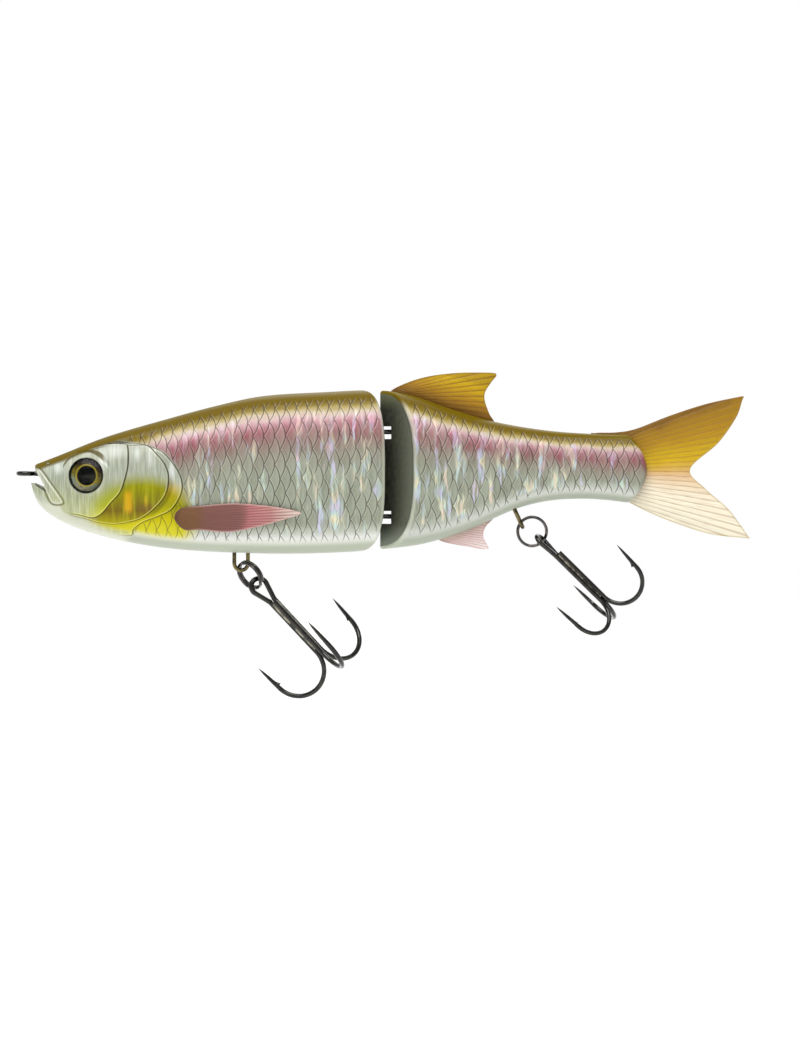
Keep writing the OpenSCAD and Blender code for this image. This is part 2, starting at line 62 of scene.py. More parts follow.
# ---------------- body outlines, as in the CAD source
BACK = [(1.2, 1.8), (8, 4.4), (20, 9.1), (36, 13.8), (48, 17), (59, 19.3), (74, 20.3), (89, 20.75),
        (97, 19.3), (106, 16.2), (117, 13), (130, 10.8), (142, 9.9), (152, 9.7)]
BELLY = [(1.2, -3.9), (3.3, -7.6), (6, -10.1), (10, -12.4), (16, -14.7), (26, -17.2), (40, -19.1),
         (62, -20), (78, -19.7), (90, -18.8), (100, -17.4), (111, -13.9), (122, -9), (130, -6.9),
         (138, -6.3), (145, -6.6), (152, -7.5)]
WIDTH = [(1.2, 0.21), (4, 0.32), (9, 0.48), (16, 0.64), (25, 0.79), (36, 0.91), (50, 0.985),
         (62, 1), (76, 0.975), (89, 0.925), (97, 0.87), (106, 0.765), (117, 0.6), (128, 0.45),
         (140, 0.35), (155, 0.29)]
HALF_WIDTH = 11.6
POWER = 2.8
NOSE_X = 1.2
NOSE_ROUND = 1.7
WALL = 1.8
EDGE_X, EDGE_DEPTH, EDGE_POWER, REAR_HOLLOW = 83.65, 6.15, 3, 1.6
WEDGE_X, WEDGE_SLOPE = 88.55, 0.8
TAIL_EDGE_X, TAIL_BULGE = 151.5, 3.6
MOUTH = [(-2, -2.35), (2.4, -2.35), (4.6, -3.4), (4.95, -3.1), (4.5, -2.4), (4, -1.4), (3.4, -0.6),
         (2.7, 0.6), (2.4, 2), (2.2, 5), (-2, 5)]
EYE_AT, EYE_D, EYE_TOE_IN = (15.5, -7.5, -0.55), 8.8, 11
PIN_X, POCKET_R, POCKET_H = 92.9, 3.7, 3.2
POCKET_Z = (10.2, -10.95)

# Gill plates and jaw strip, as closed outlines on the flank, [x, z].
CHEEK = [(21.2, 7.4), (24.7, 7.6), (25.8, 6.7), (25.95, 2.3), (25.25, -1.2), (24, -4.7),
         (21.55, -7.5), (19.45, -9.95), (17.35, -11), (14.55, -10.5), (8.9, -8.55), (9, -2),
         (11, 4), (16, 7.4)]
OPERCLE = [(21, 7.3), (27.2, 7.1), (30.7, 6.9), (32.8, 5.1), (35.25, 2), (36.1, -1.2),
           (35.6, -4.7), (33.85, -7.5), (30.3, -10.65), (26.8, -12.05), (21.55, -12.75),
           (15.95, -11.7), (9, -8.6), (10, 0), (14, 5)]
GILL_EDGE = [(20, 7.6), (28, 7.8), (33.15, 6.2), (35.6, 4.4), (38.4, 0.6), (39.45, -2.6),
             (39.1, -5.4), (37, -8.9), (33.85, -10.65), (29.6, -12.4), (27.2, -14.15),
             (25.75, -15.55), (14, -13.6), (7, -9.5), (9, 0), (13, 5)]
JAW_STRIP = [(2.7, 1.45), (4, 0.9), (6.6, -2.6), (9.45, -6.6), (9.3, -7.6), (7.2, -7.6),
             (6.1, -6.3), (4.4, -2.4), (2.9, 0.2)]

SCALE_PITCH, SCALE_ROW, SCALE_POWER = 2.67, 3.6, 2.0
SCALE_ROW_TAIL = 2.9


def hermite(points, x):
    """Height of the same smooth curve as in the CAD source, at every x."""
    xs, ys = np.array(points, float).T
    before = np.maximum(np.arange(len(xs)) - 1, 0)
    after = np.minimum(np.arange(len(xs)) + 1, len(xs) - 1)
    slope = (ys[after] - ys[before]) / (xs[after] - xs[before])
    i = np.clip(np.searchsorted(xs, x, side="left") - 1, 0, len(xs) - 2)
    h = xs[i + 1] - xs[i]
    t = (x - xs[i]) / h
    return ((1 + 2 * t) * (1 - t) ** 2 * ys[i] + t * (1 - t) ** 2 * h * slope[i]
            + t * t * (3 - 2 * t) * ys[i + 1] + t * t * (t - 1) * h * slope[i + 1])


def round_off(v):
    return np.sign(v) * np.abs(v) ** (2 / POWER)


def skin(x, a, inset=0.0):
    """Points of the body's left-hand skin at x, an angle a round from the back."""
    back, belly = hermite(BACK, x), hermite(BELLY, x)
    g = np.sqrt(np.clip(1 - (1 - np.clip((x - NOSE_X) / NOSE_ROUND, 0, 1)) ** 2, 0, 1))
    y = -np.maximum(HALF_WIDTH * hermite(WIDTH, x) * g - inset, 0) * round_off(np.sin(a))
    half = np.maximum((back - belly) / 2 * g - inset, 0)
    return np.stack([x, y, (back + belly) / 2 + half * round_off(np.cos(a))], axis=-1)


def even_angles(count, at=60.0):
    """Angles from the back to the belly that are evenly spaced along the section at x = at."""
    fine = np.linspace(0, math.pi, 4001)
    p = skin(np.full_like(fine, at), fine)
    run = np.concatenate([[0], np.cumsum(np.linalg.norm(np.diff(p, axis=0), axis=1))])
    return np.interp(np.linspace(0, run[-1], count + 1), run, fine)


def smooth(low, high, v):
    t = np.clip((v - low) / (high - low), 0, 1)
    return t * t * (3 - 2 * t)


def signed_distance(x, z, outline):
    """Distance from each point to a closed outline, positive inside it."""
    best = np.full(x.shape, 1e9)
    inside = np.zeros(x.shape, bool)
    corners = np.array(outline, float)
    for p, q in zip(corners, np.roll(corners, -1, axis=0)):
        d = q - p
        t = np.clip(((x - p[0]) * d[0] + (z - p[1]) * d[1]) / (d @ d), 0, 1)
        best = np.minimum(best, np.hypot(x - p[0] - t * d[0], z - p[1] - t * d[1]))
        if p[1] != q[1]:
            crosses = ((p[1] > z) != (q[1] > z)) & (x < d[0] * (z - p[1]) / d[1] + p[0])
            inside ^= crosses
    return np.where(inside, best, -best)


def rounded(points, k=4):
    """Closed smooth outline through given points, k steps between two of them."""
    p = np.array(points, float)
    a, b, c, d = np.roll(p, 1, 0), p, np.roll(p, -1, 0), np.roll(p, -2, 0)
    steps = [0.5 * (2 * b + (c - a) * t + (2 * a - 5 * b + 4 * c - d) * t * t
                    + (3 * b - a - 3 * c + d) * t ** 3) for t in np.arange(k) / k]
    return np.stack(steps, axis=1).reshape(-1, 2)


# ---------------- meshes
def add_object(name, mesh):
    piece = bpy.data.objects.new(name, mesh)
    bpy.context.scene.collection.objects.link(piece)
    return piece


def shade(mesh, angle=38):
    mesh.shade_smooth()
    mesh.set_sharp_from_angle(angle=math.radians(angle))


def make_mesh(name, points, faces, materials, slots=None, maps=None):
    """A mesh from points in millimetres. slots holds a number a face, maps a value pair a point."""
    mesh = bpy.data.meshes.new(name)
    mesh.from_pydata((np.asarray(points) * MM).tolist(), [], faces)
    for material in materials:
        mesh.materials.append(material)
    if slots is not None:
        mesh.polygons.foreach_set("material_index", np.asarray(slots, np.int32))
    corners = np.empty(len(mesh.loops), np.int32)
    mesh.loops.foreach_get("vertex_index", corners)
    for layer_name, values in (maps or {}).items():
        layer = mesh.uv_layers.new(name=layer_name)
        layer.data.foreach_set("uv", np.asarray(values, np.float32)[corners].ravel())
    return mesh


def close_up(mesh, seam=False):
    """Merges points that coincide, fills the seam plane between open loops, turns faces out."""
    bm = bmesh.new()
    bm.from_mesh(mesh)
    bmesh.ops.remove_doubles(bm, verts=bm.verts, dist=1e-6)
    bmesh.ops.dissolve_degenerate(bm, edges=bm.edges, dist=1e-7)
    if seam:
        border = [e for e in bm.edges if e.is_boundary]
        bmesh.ops.triangle_fill(bm, edges=border, use_beauty=True, use_dissolve=False)
    bmesh.ops.recalc_face_normals(bm, faces=bm.faces)
    bm.to_mesh(mesh)
    bm.free()


def grid_faces(n, m, first=0, flip=False):
    """Faces of a grid of n by m points."""
    a = first + np.arange((n - 1) * m).reshape(n - 1, m)[:, :-1].ravel()
    quads = np.stack([a, a + 1, a + m + 1, a + m], axis=1)
    return (quads[:, ::-1] if flip else quads).tolist()


def cut(piece, *cutters):
    """Takes solids away from a piece, keeps the result as its mesh, closes slits on the seam."""
    for cutter in cutters:
        modifier = piece.modifiers.new("cut", "BOOLEAN")
        modifier.operation = "DIFFERENCE"
        modifier.object = cutter
        modifier.solver = "EXACT"
    depsgraph = bpy.context.evaluated_depsgraph_get()
    mesh = bpy.data.meshes.new_from_object(piece.evaluated_get(depsgraph))
    piece.modifiers.clear()
    piece.data = mesh
    for cutter in cutters:
        bpy.data.objects.remove(cutter)
    bm = bmesh.new()
    bm.from_mesh(mesh)
    slits = [e for e in bm.edges if e.is_boundary]
    for face in bmesh.ops.holes_fill(bm, edges=slits, sides=0)["faces"]:
        face.material_index = 1
    bm.to_mesh(mesh)
    bm.free()


def cutter(name, rings, materials):
    """A solid between two equal rings of points, faced with the second material."""
    n = len(rings[0])
    sides = [(i, (i + 1) % n, n + (i + 1) % n, n + i) for i in range(n)]
    faces = [tuple(range(n))[::-1], tuple(range(n, 2 * n))] + sides
    mesh = make_mesh(name, rings[0] + rings[1], faces, materials, [1] * len(faces))
    close_up(mesh)
    return add_object(name, mesh)


def prism(name, outline, low, high, materials):
    """Cutter between y = low and y = high, from an outline in [x, z]."""
    return cutter(name, [[(x, y, z) for x, z in outline] for y in (low, high)], materials)


def disc(name, place, radius, low, high, materials, sides=96):
    """Round cutter about its own z axis, put in its place."""
    turn = np.linspace(0, 2 * math.pi, sides, endpoint=False)
    circle = np.stack([radius * np.cos(turn), radius * np.sin(turn)], axis=1)
    rings = [[place @ Vector((x, y, z)) for x, y in circle] for z in (low, high)]
    return cutter(name, rings, materials)


def mirrored(piece, name):
    """The same piece on the fish's other side."""
    mesh = piece.data.copy()
    mesh.transform(Matrix.Scale(-1, 4, (0, 1, 0)))
    mesh.flip_normals()
    return add_object(name, mesh)


# ---------------- shader nodes
def rgb(r, g, b):
    """Screen colour, 0 to 255, as the linear colour that nodes take."""
    c = np.array([r, g, b]) / 255
    linear = np.where(c <= 0.04045, c / 12.92, ((c + 0.055) / 1.055) ** 2.4)
    return (*[float(v) for v in linear], 1.0)


class Signal:
    """A value that a node gives out. Arithmetic on it adds maths nodes."""

    def __init__(self, paint, socket):
        self.paint, self.socket = paint, socket

    def __abs__(self):
        return self.paint.math("ABSOLUTE", self)

    def step(self, low, high):
        """0 below low and 1 above high, with a soft change between them."""
        rising = float(low < high)
        inputs = {"Value": self, "From Min": min(low, high), "From Max": max(low, high),
                  "To Min": 1.0 - rising, "To Max": rising}
        return self.paint.made("ShaderNodeMapRange", inputs, "Result",
                               interpolation_type="SMOOTHSTEP")

    def between(self, low, high, soft):
        """1 where the value lies between low and high."""
        return self.step(low - soft, low + soft) * self.step(high + soft, high - soft)

    def mix(self, share, colour):
        """This colour, with a share of another over it."""
        return self.paint.mix(share, self, colour)


def arithmetic(operation, swapped):
    def join(one, other):
        return one.paint.math(operation, *((other, one) if swapped else (one, other)))
    return join


for sign, operation in (("add", "ADD"), ("sub", "SUBTRACT"), ("mul", "MULTIPLY"),
                        ("truediv", "DIVIDE"), ("mod", "MODULO"), ("pow", "POWER")):
    setattr(Signal, f"__{sign}__", arithmetic(operation, False))
    setattr(Signal, f"__r{sign}__", arithmetic(operation, True))


class Paint:
    """A node material whose parts are put together with short calls. Colours are 0 to 255."""

    def __init__(self, name):
        self.material = bpy.data.materials.new(name)
        self.material.use_nodes = True
        self.tree = self.material.node_tree
        self.shader = self.tree.nodes["Principled BSDF"]

    def node(self, kind, **settings):
        made = self.tree.nodes.new(kind)
        for key, value in settings.items():
            setattr(made, key, value)
        return made

    def feed(self, socket, value):
        if isinstance(value, Signal):
            self.tree.links.new(value.socket, socket)
        else:
            socket.default_value = rgb(*value) if isinstance(value, tuple) else value

    def made(self, kind, inputs, output=0, **settings):
        """One output of a new node, with its inputs given by place or by name."""
        node = self.node(kind, **settings)
        for key, value in inputs.items():
            self.feed(node.inputs[key], value)
        return Signal(self, node.outputs[output])

    def math(self, operation, a, b=0.0):
        return self.made("ShaderNodeMath", {0: a, 1: b}, operation=operation)

    def radius(self, a, b):
        return self.math("SQRT", a * a + b * b)

    def mix(self, share, a, b):
        return self.made("ShaderNodeMix", {0: share, 6: a, 7: b}, 2, data_type="RGBA")

    def ramp(self, value, stops):
        node = self.node("ShaderNodeValToRGB")
        elements = node.color_ramp.elements
        while len(elements) < len(stops):
            elements.new(0.5)
        for element, (place, colour) in zip(elements, stops):
            element.position = place
            element.color = rgb(*colour)
        self.feed(node.inputs[0], value)
        return Signal(self, node.outputs[0])

    def split(self, vector):
        """The x, y and z of a vector."""
        node = self.node("ShaderNodeSeparateXYZ")
        self.feed(node.inputs[0], vector)
        return [Signal(self, output) for output in node.outputs]

    def uv(self, name):
        """The two values of one of the mesh's maps."""
        return self.split(self.made("ShaderNodeUVMap", {}, uv_map=name))[:2]

    def place(self):
        """x, y and z on the object, in millimetres."""
        inputs = {0: self.made("ShaderNodeTexCoord", {}, "Object"), "Scale": 1 / MM}
        return self.split(self.made("ShaderNodeVectorMath", inputs, operation="SCALE"))

    def vector(self, x, y, z=0.0):
        return self.made("ShaderNodeCombineXYZ", {0: x, 1: y, 2: z})

    def noise(self, place, scale=1.0, detail=2.0, rough=0.5):
        return self.made("ShaderNodeTexNoise", {"Vector": self.vector(*place), "Scale": scale,
                                                "Detail": detail, "Roughness": rough})

    def chance(self, vector):
        """One random number for each value of the vector."""
        return self.made("ShaderNodeTexWhiteNoise", {"Vector": vector}, "Value",
                         noise_dimensions="3D")

    def spot(self, x, z, at, size, soft):
        """1 inside an ellipse round at = (x, z), fading to 0 at its edge."""
        return self.radius((x - at[0]) / size[0], (z - at[1]) / size[1]).step(1.0, 1.0 - soft)

    def bump(self, height, distance, strength, below=None):
        """Relief of a height in millimetres, over the relief below it."""
        inputs = {"Strength": strength, "Distance": distance * MM, "Height": height}
        return self.made("ShaderNodeBump", inputs if below is None else {**inputs, "Normal": below})

    def finish(self, **sockets):
        for name, value in sockets.items():
            self.feed(self.shader.inputs[name.replace("_", " ")], value)
        return self.material


# ---------------- materials
# Pale reflections on the face: middle, size and share.
HEAD_GLARES = (((23.2, 5.4), (3.6, 2.6), 0.4), ((19.6, 3.2), (1.6, 4.6), 0.5),
               ((18.6, -2.4), (0.9, 4.6), 0.6), ((28.4, 4.8), (1.3, 3.2), 0.45),
               ((8.6, 1.6), (2.4, 2.6), 0.35), ((37.0, 0.2), (1.3, 3.8), 0.6),
               ((31.5, 4.0), (1.2, 3.6), 0.35))
THROAT_AT, THROAT_SIZE = (29.5, -11.3), (13.5, 10.6)
# The joint's edges lie between the first two of these, and the tail's root behind the third.
JOINT_FROM, JOINT_TO, TAIL_FROM = 88, 91, 130
GLOSS_IOR = 1.42


def scale_net(paint, u, v):
    """Distance to the nearest scale edge in pitches, how far back a point is on its scale, and
    the scale's own number."""
    row = paint.math("FLOOR", v)
    t = v - row
    odd = ((row + 100) % 2) * 0.5
    lefts, rights = [], []
    for shift, height in ((odd, t), (0.5 - odd, 1 - t)):
        arc = (1 - height ** SCALE_POWER) * 0.5
        along = u - shift - arc
        index = paint.math("FLOOR", along)
        lefts.append(along - index)
        rights.append(index)
    nearer = paint.math("LESS_THAN", lefts[1], lefts[0])
    left = paint.math("MINIMUM", lefts[0], lefts[1])
    right = 1 - paint.math("MAXIMUM", lefts[0], lefts[1])
    gap = paint.math("MINIMUM", left, right)
    back = left / (left + right)
    index = rights[0] * nearer + rights[1] * (1 - nearer)
    own_row = row + (1 - nearer)
    return gap, back, paint.vector(index, own_row)


def foil_colours(paint, x, y, z, luck):
    """Crushed foil: where it shines, where it is dull, and in which pale colour."""
    bend = paint.noise((x * 0.5, y * 0.1, z * 0.25))
    side = x + (bend - 0.5) * 1.6
    streak = paint.noise((side * 0.55, 5.0, z * 0.07))
    fine = paint.noise((side * 1.5, 7.0, z * 0.12), rough=0.6)
    hue = paint.noise((x * 0.35, 3.0, z * 0.2), 1.0, 1.0)
    tint = paint.ramp(hue * 0.72 + luck * 0.28, [
        (0.28, (232, 204, 214)), (0.38, (206, 198, 232)), (0.46, (194, 212, 232)),
        (0.53, (206, 228, 214)), (0.6, (240, 230, 192)), (0.68, (238, 210, 188))])
    return streak, fine, tint


def band_colours(paint, x, y, z, depth, rise):
    """The flank, its bands without the belly, their grain, and where the olive back ends."""
    cloud = paint.noise((x * 0.14, y, z * 0.05))
    depth_here = depth + (cloud - 0.5) * 2.2
    # The pale band from 0.215 to 0.31 is partly cream paint and partly a painted highlight on the
    # upper flank.
    bands = paint.ramp(depth_here / 20, [
        (0.0, (116, 98, 10)), (0.05, (106, 86, 0)), (0.13, (106, 86, 0)), (0.175, (128, 108, 20)),
        (0.215, (164, 146, 86)), (0.26, (190, 172, 146)), (0.31, (188, 158, 156)),
        (0.36, (172, 124, 134)), (0.42, (154, 94, 106)), (0.5, (138, 78, 86)),
        (0.57, (134, 88, 88)), (0.65, (132, 108, 100)), (0.76, (134, 128, 114)),
        (1.0, (136, 142, 124))])
    grain = paint.noise((x * 0.9, y, z * 0.35), 1.0, 3.0, 0.6)
    below_back = depth.step(1.5, 6.0)
    bands = bands.mix(grain.step(0.35, 0.7) * (below_back * 0.14), bands.mix(0.5, (196, 190, 172)))
    # Belly: a painted highlight band from 0.28 to 0.37, with painted shade darkening it towards the
    # underside.
    belly = paint.ramp(rise / 10, [
        (0.0, (166, 172, 154)), (0.17, (178, 184, 166)), (0.28, (214, 216, 206)),
        (0.37, (220, 221, 216)), (0.5, (186, 190, 178)), (0.72, (150, 154, 137)),
        (1.0, (138, 142, 124))])
    belly = belly.mix(x.step(88, 96) * 0.4, (150, 156, 144))
    flank = bands.mix(rise.step(8.5, 5.5), belly)
    return flank, bands, grain, below_back


def foil_over(paint, flank, x, y, z, depth, rise, luck):
    """The flank under crushed foil, which is strongest behind the middle of each section."""
    tint_luck = paint.chance(paint.vector(luck, 3.7, 1.3))
    streak, fine, tint = foil_colours(paint, x, y, z, tint_luck)
    flank_mask = depth.step(5.5, 8.5) * rise.step(3.5, 6.0)
    patch = paint.noise((x * 0.1, 9.0, z * 0.12), 1.0, 1.0)
    crushed = paint.math("MAXIMUM", x.between(68, 87, 3), x.between(93, 140, 4))
    crushed = paint.math("MAXIMUM", crushed, x.between(38, 56, 3) * 0.75)
    crushed = crushed * patch.step(0.3, 0.48)
    crushed = crushed * (depth.step(3.5, 6.5) * rise.step(3.5, 6.5))
    threshold = 0.62 - crushed * 0.12
    shine = (streak - threshold).step(-0.02, 0.12) * fine.step(0.2, 0.6)
    single = luck.step(0.82, 0.9) * fine.step(0.45, 0.6)
    shine = paint.math("MAXIMUM", shine, single * 0.8)
    shine = shine * paint.math("MAXIMUM", flank_mask, crushed)
    tint = tint.mix(depth.between(6.0, 11.0, 1.0) * 0.5, (190, 128, 150))
    flank = flank.mix(shine * 0.8, tint)
    dull = fine.step(0.47, 0.36) * (0.16 + crushed * 0.3)
    flank = flank.mix(dull * flank_mask, (98, 98, 82))
    flank = flank.mix((tint_luck - 0.3) * (flank_mask * 0.3), (176, 184, 168))
    return flank, flank_mask, crushed, shine, streak, fine


def scales_over(flank, gap, back, scaled, below_back, lost):
    """Scales that are lighter towards their tips, with a painted highlight line behind a dark edge,
    which is the second result."""
    tip = back.step(0.2, 1.0) * (below_back * 0.11)
    flank = flank.mix(scaled * tip, (226, 226, 216))
    line = gap.step(0.06, 0.022) * (scaled * (0.8 - lost * 0.7))
    # Painted highlight: a pale line just behind each scale's dark edge, as on a raised edge.
    rim = gap.step(0.04, 0.08) * gap.step(0.2, 0.12) * (scaled * back.step(0.5, 0.4))
    return flank.mix(rim * 0.12, (240, 240, 232)), line


def joint_highlight_and_root_shade(paint, flank, x, depth, start, end):
    """Painted highlights on the joint's rounded edges, painted shade in the crease at the tail's
    root.
    """
    # Painted highlight along the rounded edges at the joint.
    lip = start.step(1.4, 0.3) * paint.math("GREATER_THAN", x, JOINT_FROM)
    lip = paint.math("MAXIMUM", lip, end.step(0.9, 0.2) * paint.math("LESS_THAN", x, JOINT_TO))
    flank = flank.mix(lip * (depth.step(1.5, 4.0) * 0.55), (196, 200, 182))
    # Painted shade in the crease where the tail fin meets the body.
    root = end.step(0.4, 0.05) * paint.math("GREATER_THAN", x, TAIL_FROM)
    return flank.mix(root * 0.6, (84, 74, 58))


def head_colours(paint, x, z, depth, rise, opercle, strip, bands, brushed):
    """Brushed silver face with pale reflections, olive crown, and pale jaw and chin."""
    broad = paint.noise((x * 0.9, 6.0, z * 0.1))
    head = paint.ramp((z + 14) / 22, [
        (0.0, (196, 198, 140)), (0.3, (160, 165, 112)), (0.48, (156, 162, 132)),
        (0.62, (154, 160, 142)), (0.84, (162, 166, 150)), (1.0, (172, 172, 154))])
    head = head.mix(brushed.step(0.4, 0.62) * 0.5, (206, 210, 198))
    head = head.mix(broad.step(0.56, 0.44) * 0.3, (122, 128, 104))
    for at, size, share in HEAD_GLARES:
        glare = paint.spot(x, z, at, size, 1.0) * (0.45 + brushed)
        head = head.mix(glare * share, (236, 240, 238))
    head = head.mix(depth.step(3.1, 2.1), bands.mix(0.5, (104, 86, 8)))
    head = head.mix(depth.between(2.2, 3.2, 0.3) * 0.55, (84, 74, 20))
    jaw = strip.step(-0.2, -0.9) * (z + x * 0.3).step(-3.2, -5.0)
    head = head.mix(jaw * x.step(12, 7) * 0.6, (184, 190, 176))
    chin = opercle.step(0.4, -0.5) * (z.step(-6.0, -8.5) * x.step(22, 15))
    head = head.mix(chin * 0.85, (206, 208, 190))
    return head.mix(rise.step(2.6, 1.2) * 0.9, (208, 210, 194))


def throat_colours(paint, x, z, rise, cheek, opercle, brushed):
    """Yellow throat, olive on the plates and brighter round them. Also where it is."""
    inside = cheek.step(-0.3, 0.3)
    bars = paint.noise((x * 1.1, 1.0, z * 0.08))
    plate = paint.ramp((z + 12) / 12, [
        (0.0, (156, 148, 10)), (0.22, (112, 92, 16)), (0.42, (126, 118, 14)),
        (0.72, (140, 140, 10)), (1.0, (146, 148, 58))])
    plate = plate.mix(bars.step(0.5, 0.66) * 0.55, (160, 158, 34))
    plate = plate.mix(bars.step(0.46, 0.34) * 0.45, (100, 88, 26))
    amber = x.between(25.2, 27.1, 0.6) * z.between(-9.6, -4.6, 1.2)
    plate = plate.mix(amber * (0.4 + brushed * 0.9), (206, 160, 24))
    amber = x.between(30.2, 30.9, 0.25) * z.between(-8.6, -5.6, 0.8)
    plate = plate.mix(amber * 0.5, (206, 170, 34))
    plate = plate.mix(paint.spot(x, z, (30.6, -8.6), (4.2, 1.9), 1.0) * 0.6, (112, 84, 44))
    cheek_yellow = paint.ramp((z + 11) / 10, [
        (0.0, (196, 194, 84)), (0.3, (158, 162, 38)), (0.7, (150, 154, 58)),
        (1.0, (152, 156, 112))])
    yellow = plate.mix(inside, cheek_yellow)
    outer = paint.ramp((z + 16) / 16, [
        (0.0, (212, 206, 50)), (0.3, (186, 176, 0)), (0.5, (150, 146, 6)), (0.66, (160, 148, 16)),
        (0.78, (196, 164, 34)), (0.9, (190, 176, 104)), (1.0, (176, 174, 136))])
    yellow = yellow.mix(opercle.step(0.2, -0.4), outer)
    reach = paint.radius((x - THROAT_AT[0]) / THROAT_SIZE[0], (z - THROAT_AT[1]) / THROAT_SIZE[1])
    throat = reach.step(1.16, 0.76) * rise.step(1.8, 4.0)
    return yellow, throat


def face_marks_light_and_shade(paint, colour, x, z, strip):
    """Painted highlight on the socket ring, brow line, painted shade and highlight at the nostril
    and jaw strip, and painted shade in the corner of the mouth.
    """
    out, up = x - EYE_AT[0], z - EYE_AT[2]
    eye = paint.radius(out, up)
    # Painted highlight: a pale ring on the eye socket's rim.
    colour = colour.mix(eye.between(4.5, 5.2, 0.35) * 0.3, (200, 200, 172))
    brow_width = 0.3 + out.step(-1.0, 4.0) * 0.55
    brow = (abs(eye - 6.15) / brow_width).step(1.0, 0.5)
    brow = brow * (up.step(1.4, 3.0) * out.step(5.0, 4.0))
    colour = colour.mix(brow * 0.85, (88, 76, 20))
    # Nostril: painted shade in its dimple, with a painted highlight dot in it.
    colour = colour.mix(paint.spot(x, z, (5.7, 2.5), (0.85, 0.6), 0.4) * 0.8, (92, 86, 54))
    colour = colour.mix(paint.spot(x, z, (5.75, 2.5), (0.35, 0.22), 0.6) * 0.5, (200, 198, 176))
    # Jaw strip: painted shade along its outer edge, painted highlight inside it.
    colour = colour.mix(strip.between(-0.4, 0.0, 0.15) * 0.75, (96, 94, 58))
    colour = colour.mix(strip.between(0.15, 0.5, 0.15) * 0.45, (232, 232, 214))
    # Painted shade of the dark mouth, seen inside the lower lip's slit.
    slit = abs(z + (1.05 + x * 0.62)).step(0.45, 0.15) * x.between(2.6, 5.3, 0.3)
    return colour.mix(slit * 0.8, (46, 46, 36))


def plate_light_and_shade(paint, colour, x, z, depth, rise, gill, opercle, cheek):
    """Gill plates: painted shade lines above, painted highlight rims with painted shadow under them
    below. Also their steps.
    """
    seen = (x + z * -0.35).step(13.5, 18) * (depth.step(2.0, 2.6) * rise.step(1.3, 2.2))
    low = z.step(-2.5, -5.5)
    plates = 0.0
    for distance, strength in ((gill, 0.8), (opercle, 0.85), (cheek, 0.9)):
        share = seen * strength
        # Painted shade just outside each plate's edge, where it steps down; below, it is the
        # painted shadow.
        dark = distance.between(-0.3, 0.02, 0.1) * (1 - low * 0.2)
        colour = colour.mix(dark * share, paint.mix(low, (58, 50, 32), (74, 72, 16)))
        # Painted highlight on each plate's rim, strongest below.
        pale = distance.between(0.12, 0.34, 0.1) * (0.25 + low * 0.45)
        colour = colour.mix(pale * share, paint.mix(low, (222, 222, 206), (226, 222, 110)))
        plates = plates + distance.step(-0.35, 0.15) * seen
    # Painted shade: a dark crescent round the rear of the opercle.
    shade_crescent = opercle.between(-1.3, -0.25, 0.4) * (seen * z.step(2.0, -5.0)) * z.step(-12.0, -9.0)
    return colour.mix(shade_crescent * 0.5, (70, 66, 14)), plates


def painted_skin():
    """The shells' skin: banded flanks under scales and foil, and the painted head."""
    paint = Paint("painted_skin")
    x, y, z = paint.place()
    u, v = paint.uv("net")
    depth, rise = paint.uv("bands")
    cheek, opercle = paint.uv("plates")
    gill, strip = paint.uv("edges")
    start, end = paint.uv("ends")
    wobble = paint.noise((x * 0.4, y, z * 0.4))
    gap, back, number = scale_net(paint, u + (wobble - 0.5) * 0.12, v)
    luck = paint.chance(number)

    flank, bands, grain, below_back = band_colours(paint, x, y, z, depth, rise)
    flank, flank_mask, crushed, shine, streak, fine = foil_over(
        paint, flank, x, y, z, depth, rise, luck)
    in_front = paint.math("LESS_THAN", x, JOINT_FROM)
    clear = end.step(0.5, 1.5) * paint.math("MAXIMUM", start.step(0.9, 2.2), in_front)
    body = gill.step(-0.2, -0.7) * x.step(24, 27)
    scaled = body * clear * (depth.step(1.5, 2.8) * rise.step(2.4, 4.0))
    lost = crushed * streak.step(0.4, 0.6)
    flank, line = scales_over(flank, gap, back, scaled, below_back, lost)
    flank = joint_highlight_and_root_shade(paint, flank, x, depth, start, end)

    brushed = paint.noise((x * 3.0, 2.0, z * 0.14), 1.0, 3.0, 0.6)
    head = head_colours(paint, x, z, depth, rise, opercle, strip, bands, brushed)
    yellow, throat = throat_colours(paint, x, z, rise, cheek, opercle, brushed)
    colour = flank.mix(1 - body, head)
    colour = colour.mix(throat, yellow)
    colour = face_marks_light_and_shade(paint, colour, x, z, strip)
    colour, plates = plate_light_and_shade(paint, colour, x, z, depth, rise, gill, opercle, cheek)
    colour = colour.mix(line * (1 - throat * 0.25), (62, 50, 44))

    # Relief: grooves round the scales, crinkled foil, and the plates over both.
    normal = paint.bump(gap.step(0.0, 0.12) * scaled, 0.1, 0.55)
    normal = paint.bump((fine * 0.7 + streak) * flank_mask, 0.14, 0.6, normal)
    normal = paint.bump(plates, 0.3, 0.8, normal)
    return paint.finish(Base_Color=colour, Metallic=flank_mask * 0.3 + shine * 0.3,
                        Roughness=0.36 + grain * 0.16, Normal=normal, Specular_IOR_Level=0.07,
                        Coat_Weight=0.16, Coat_Roughness=0.06)


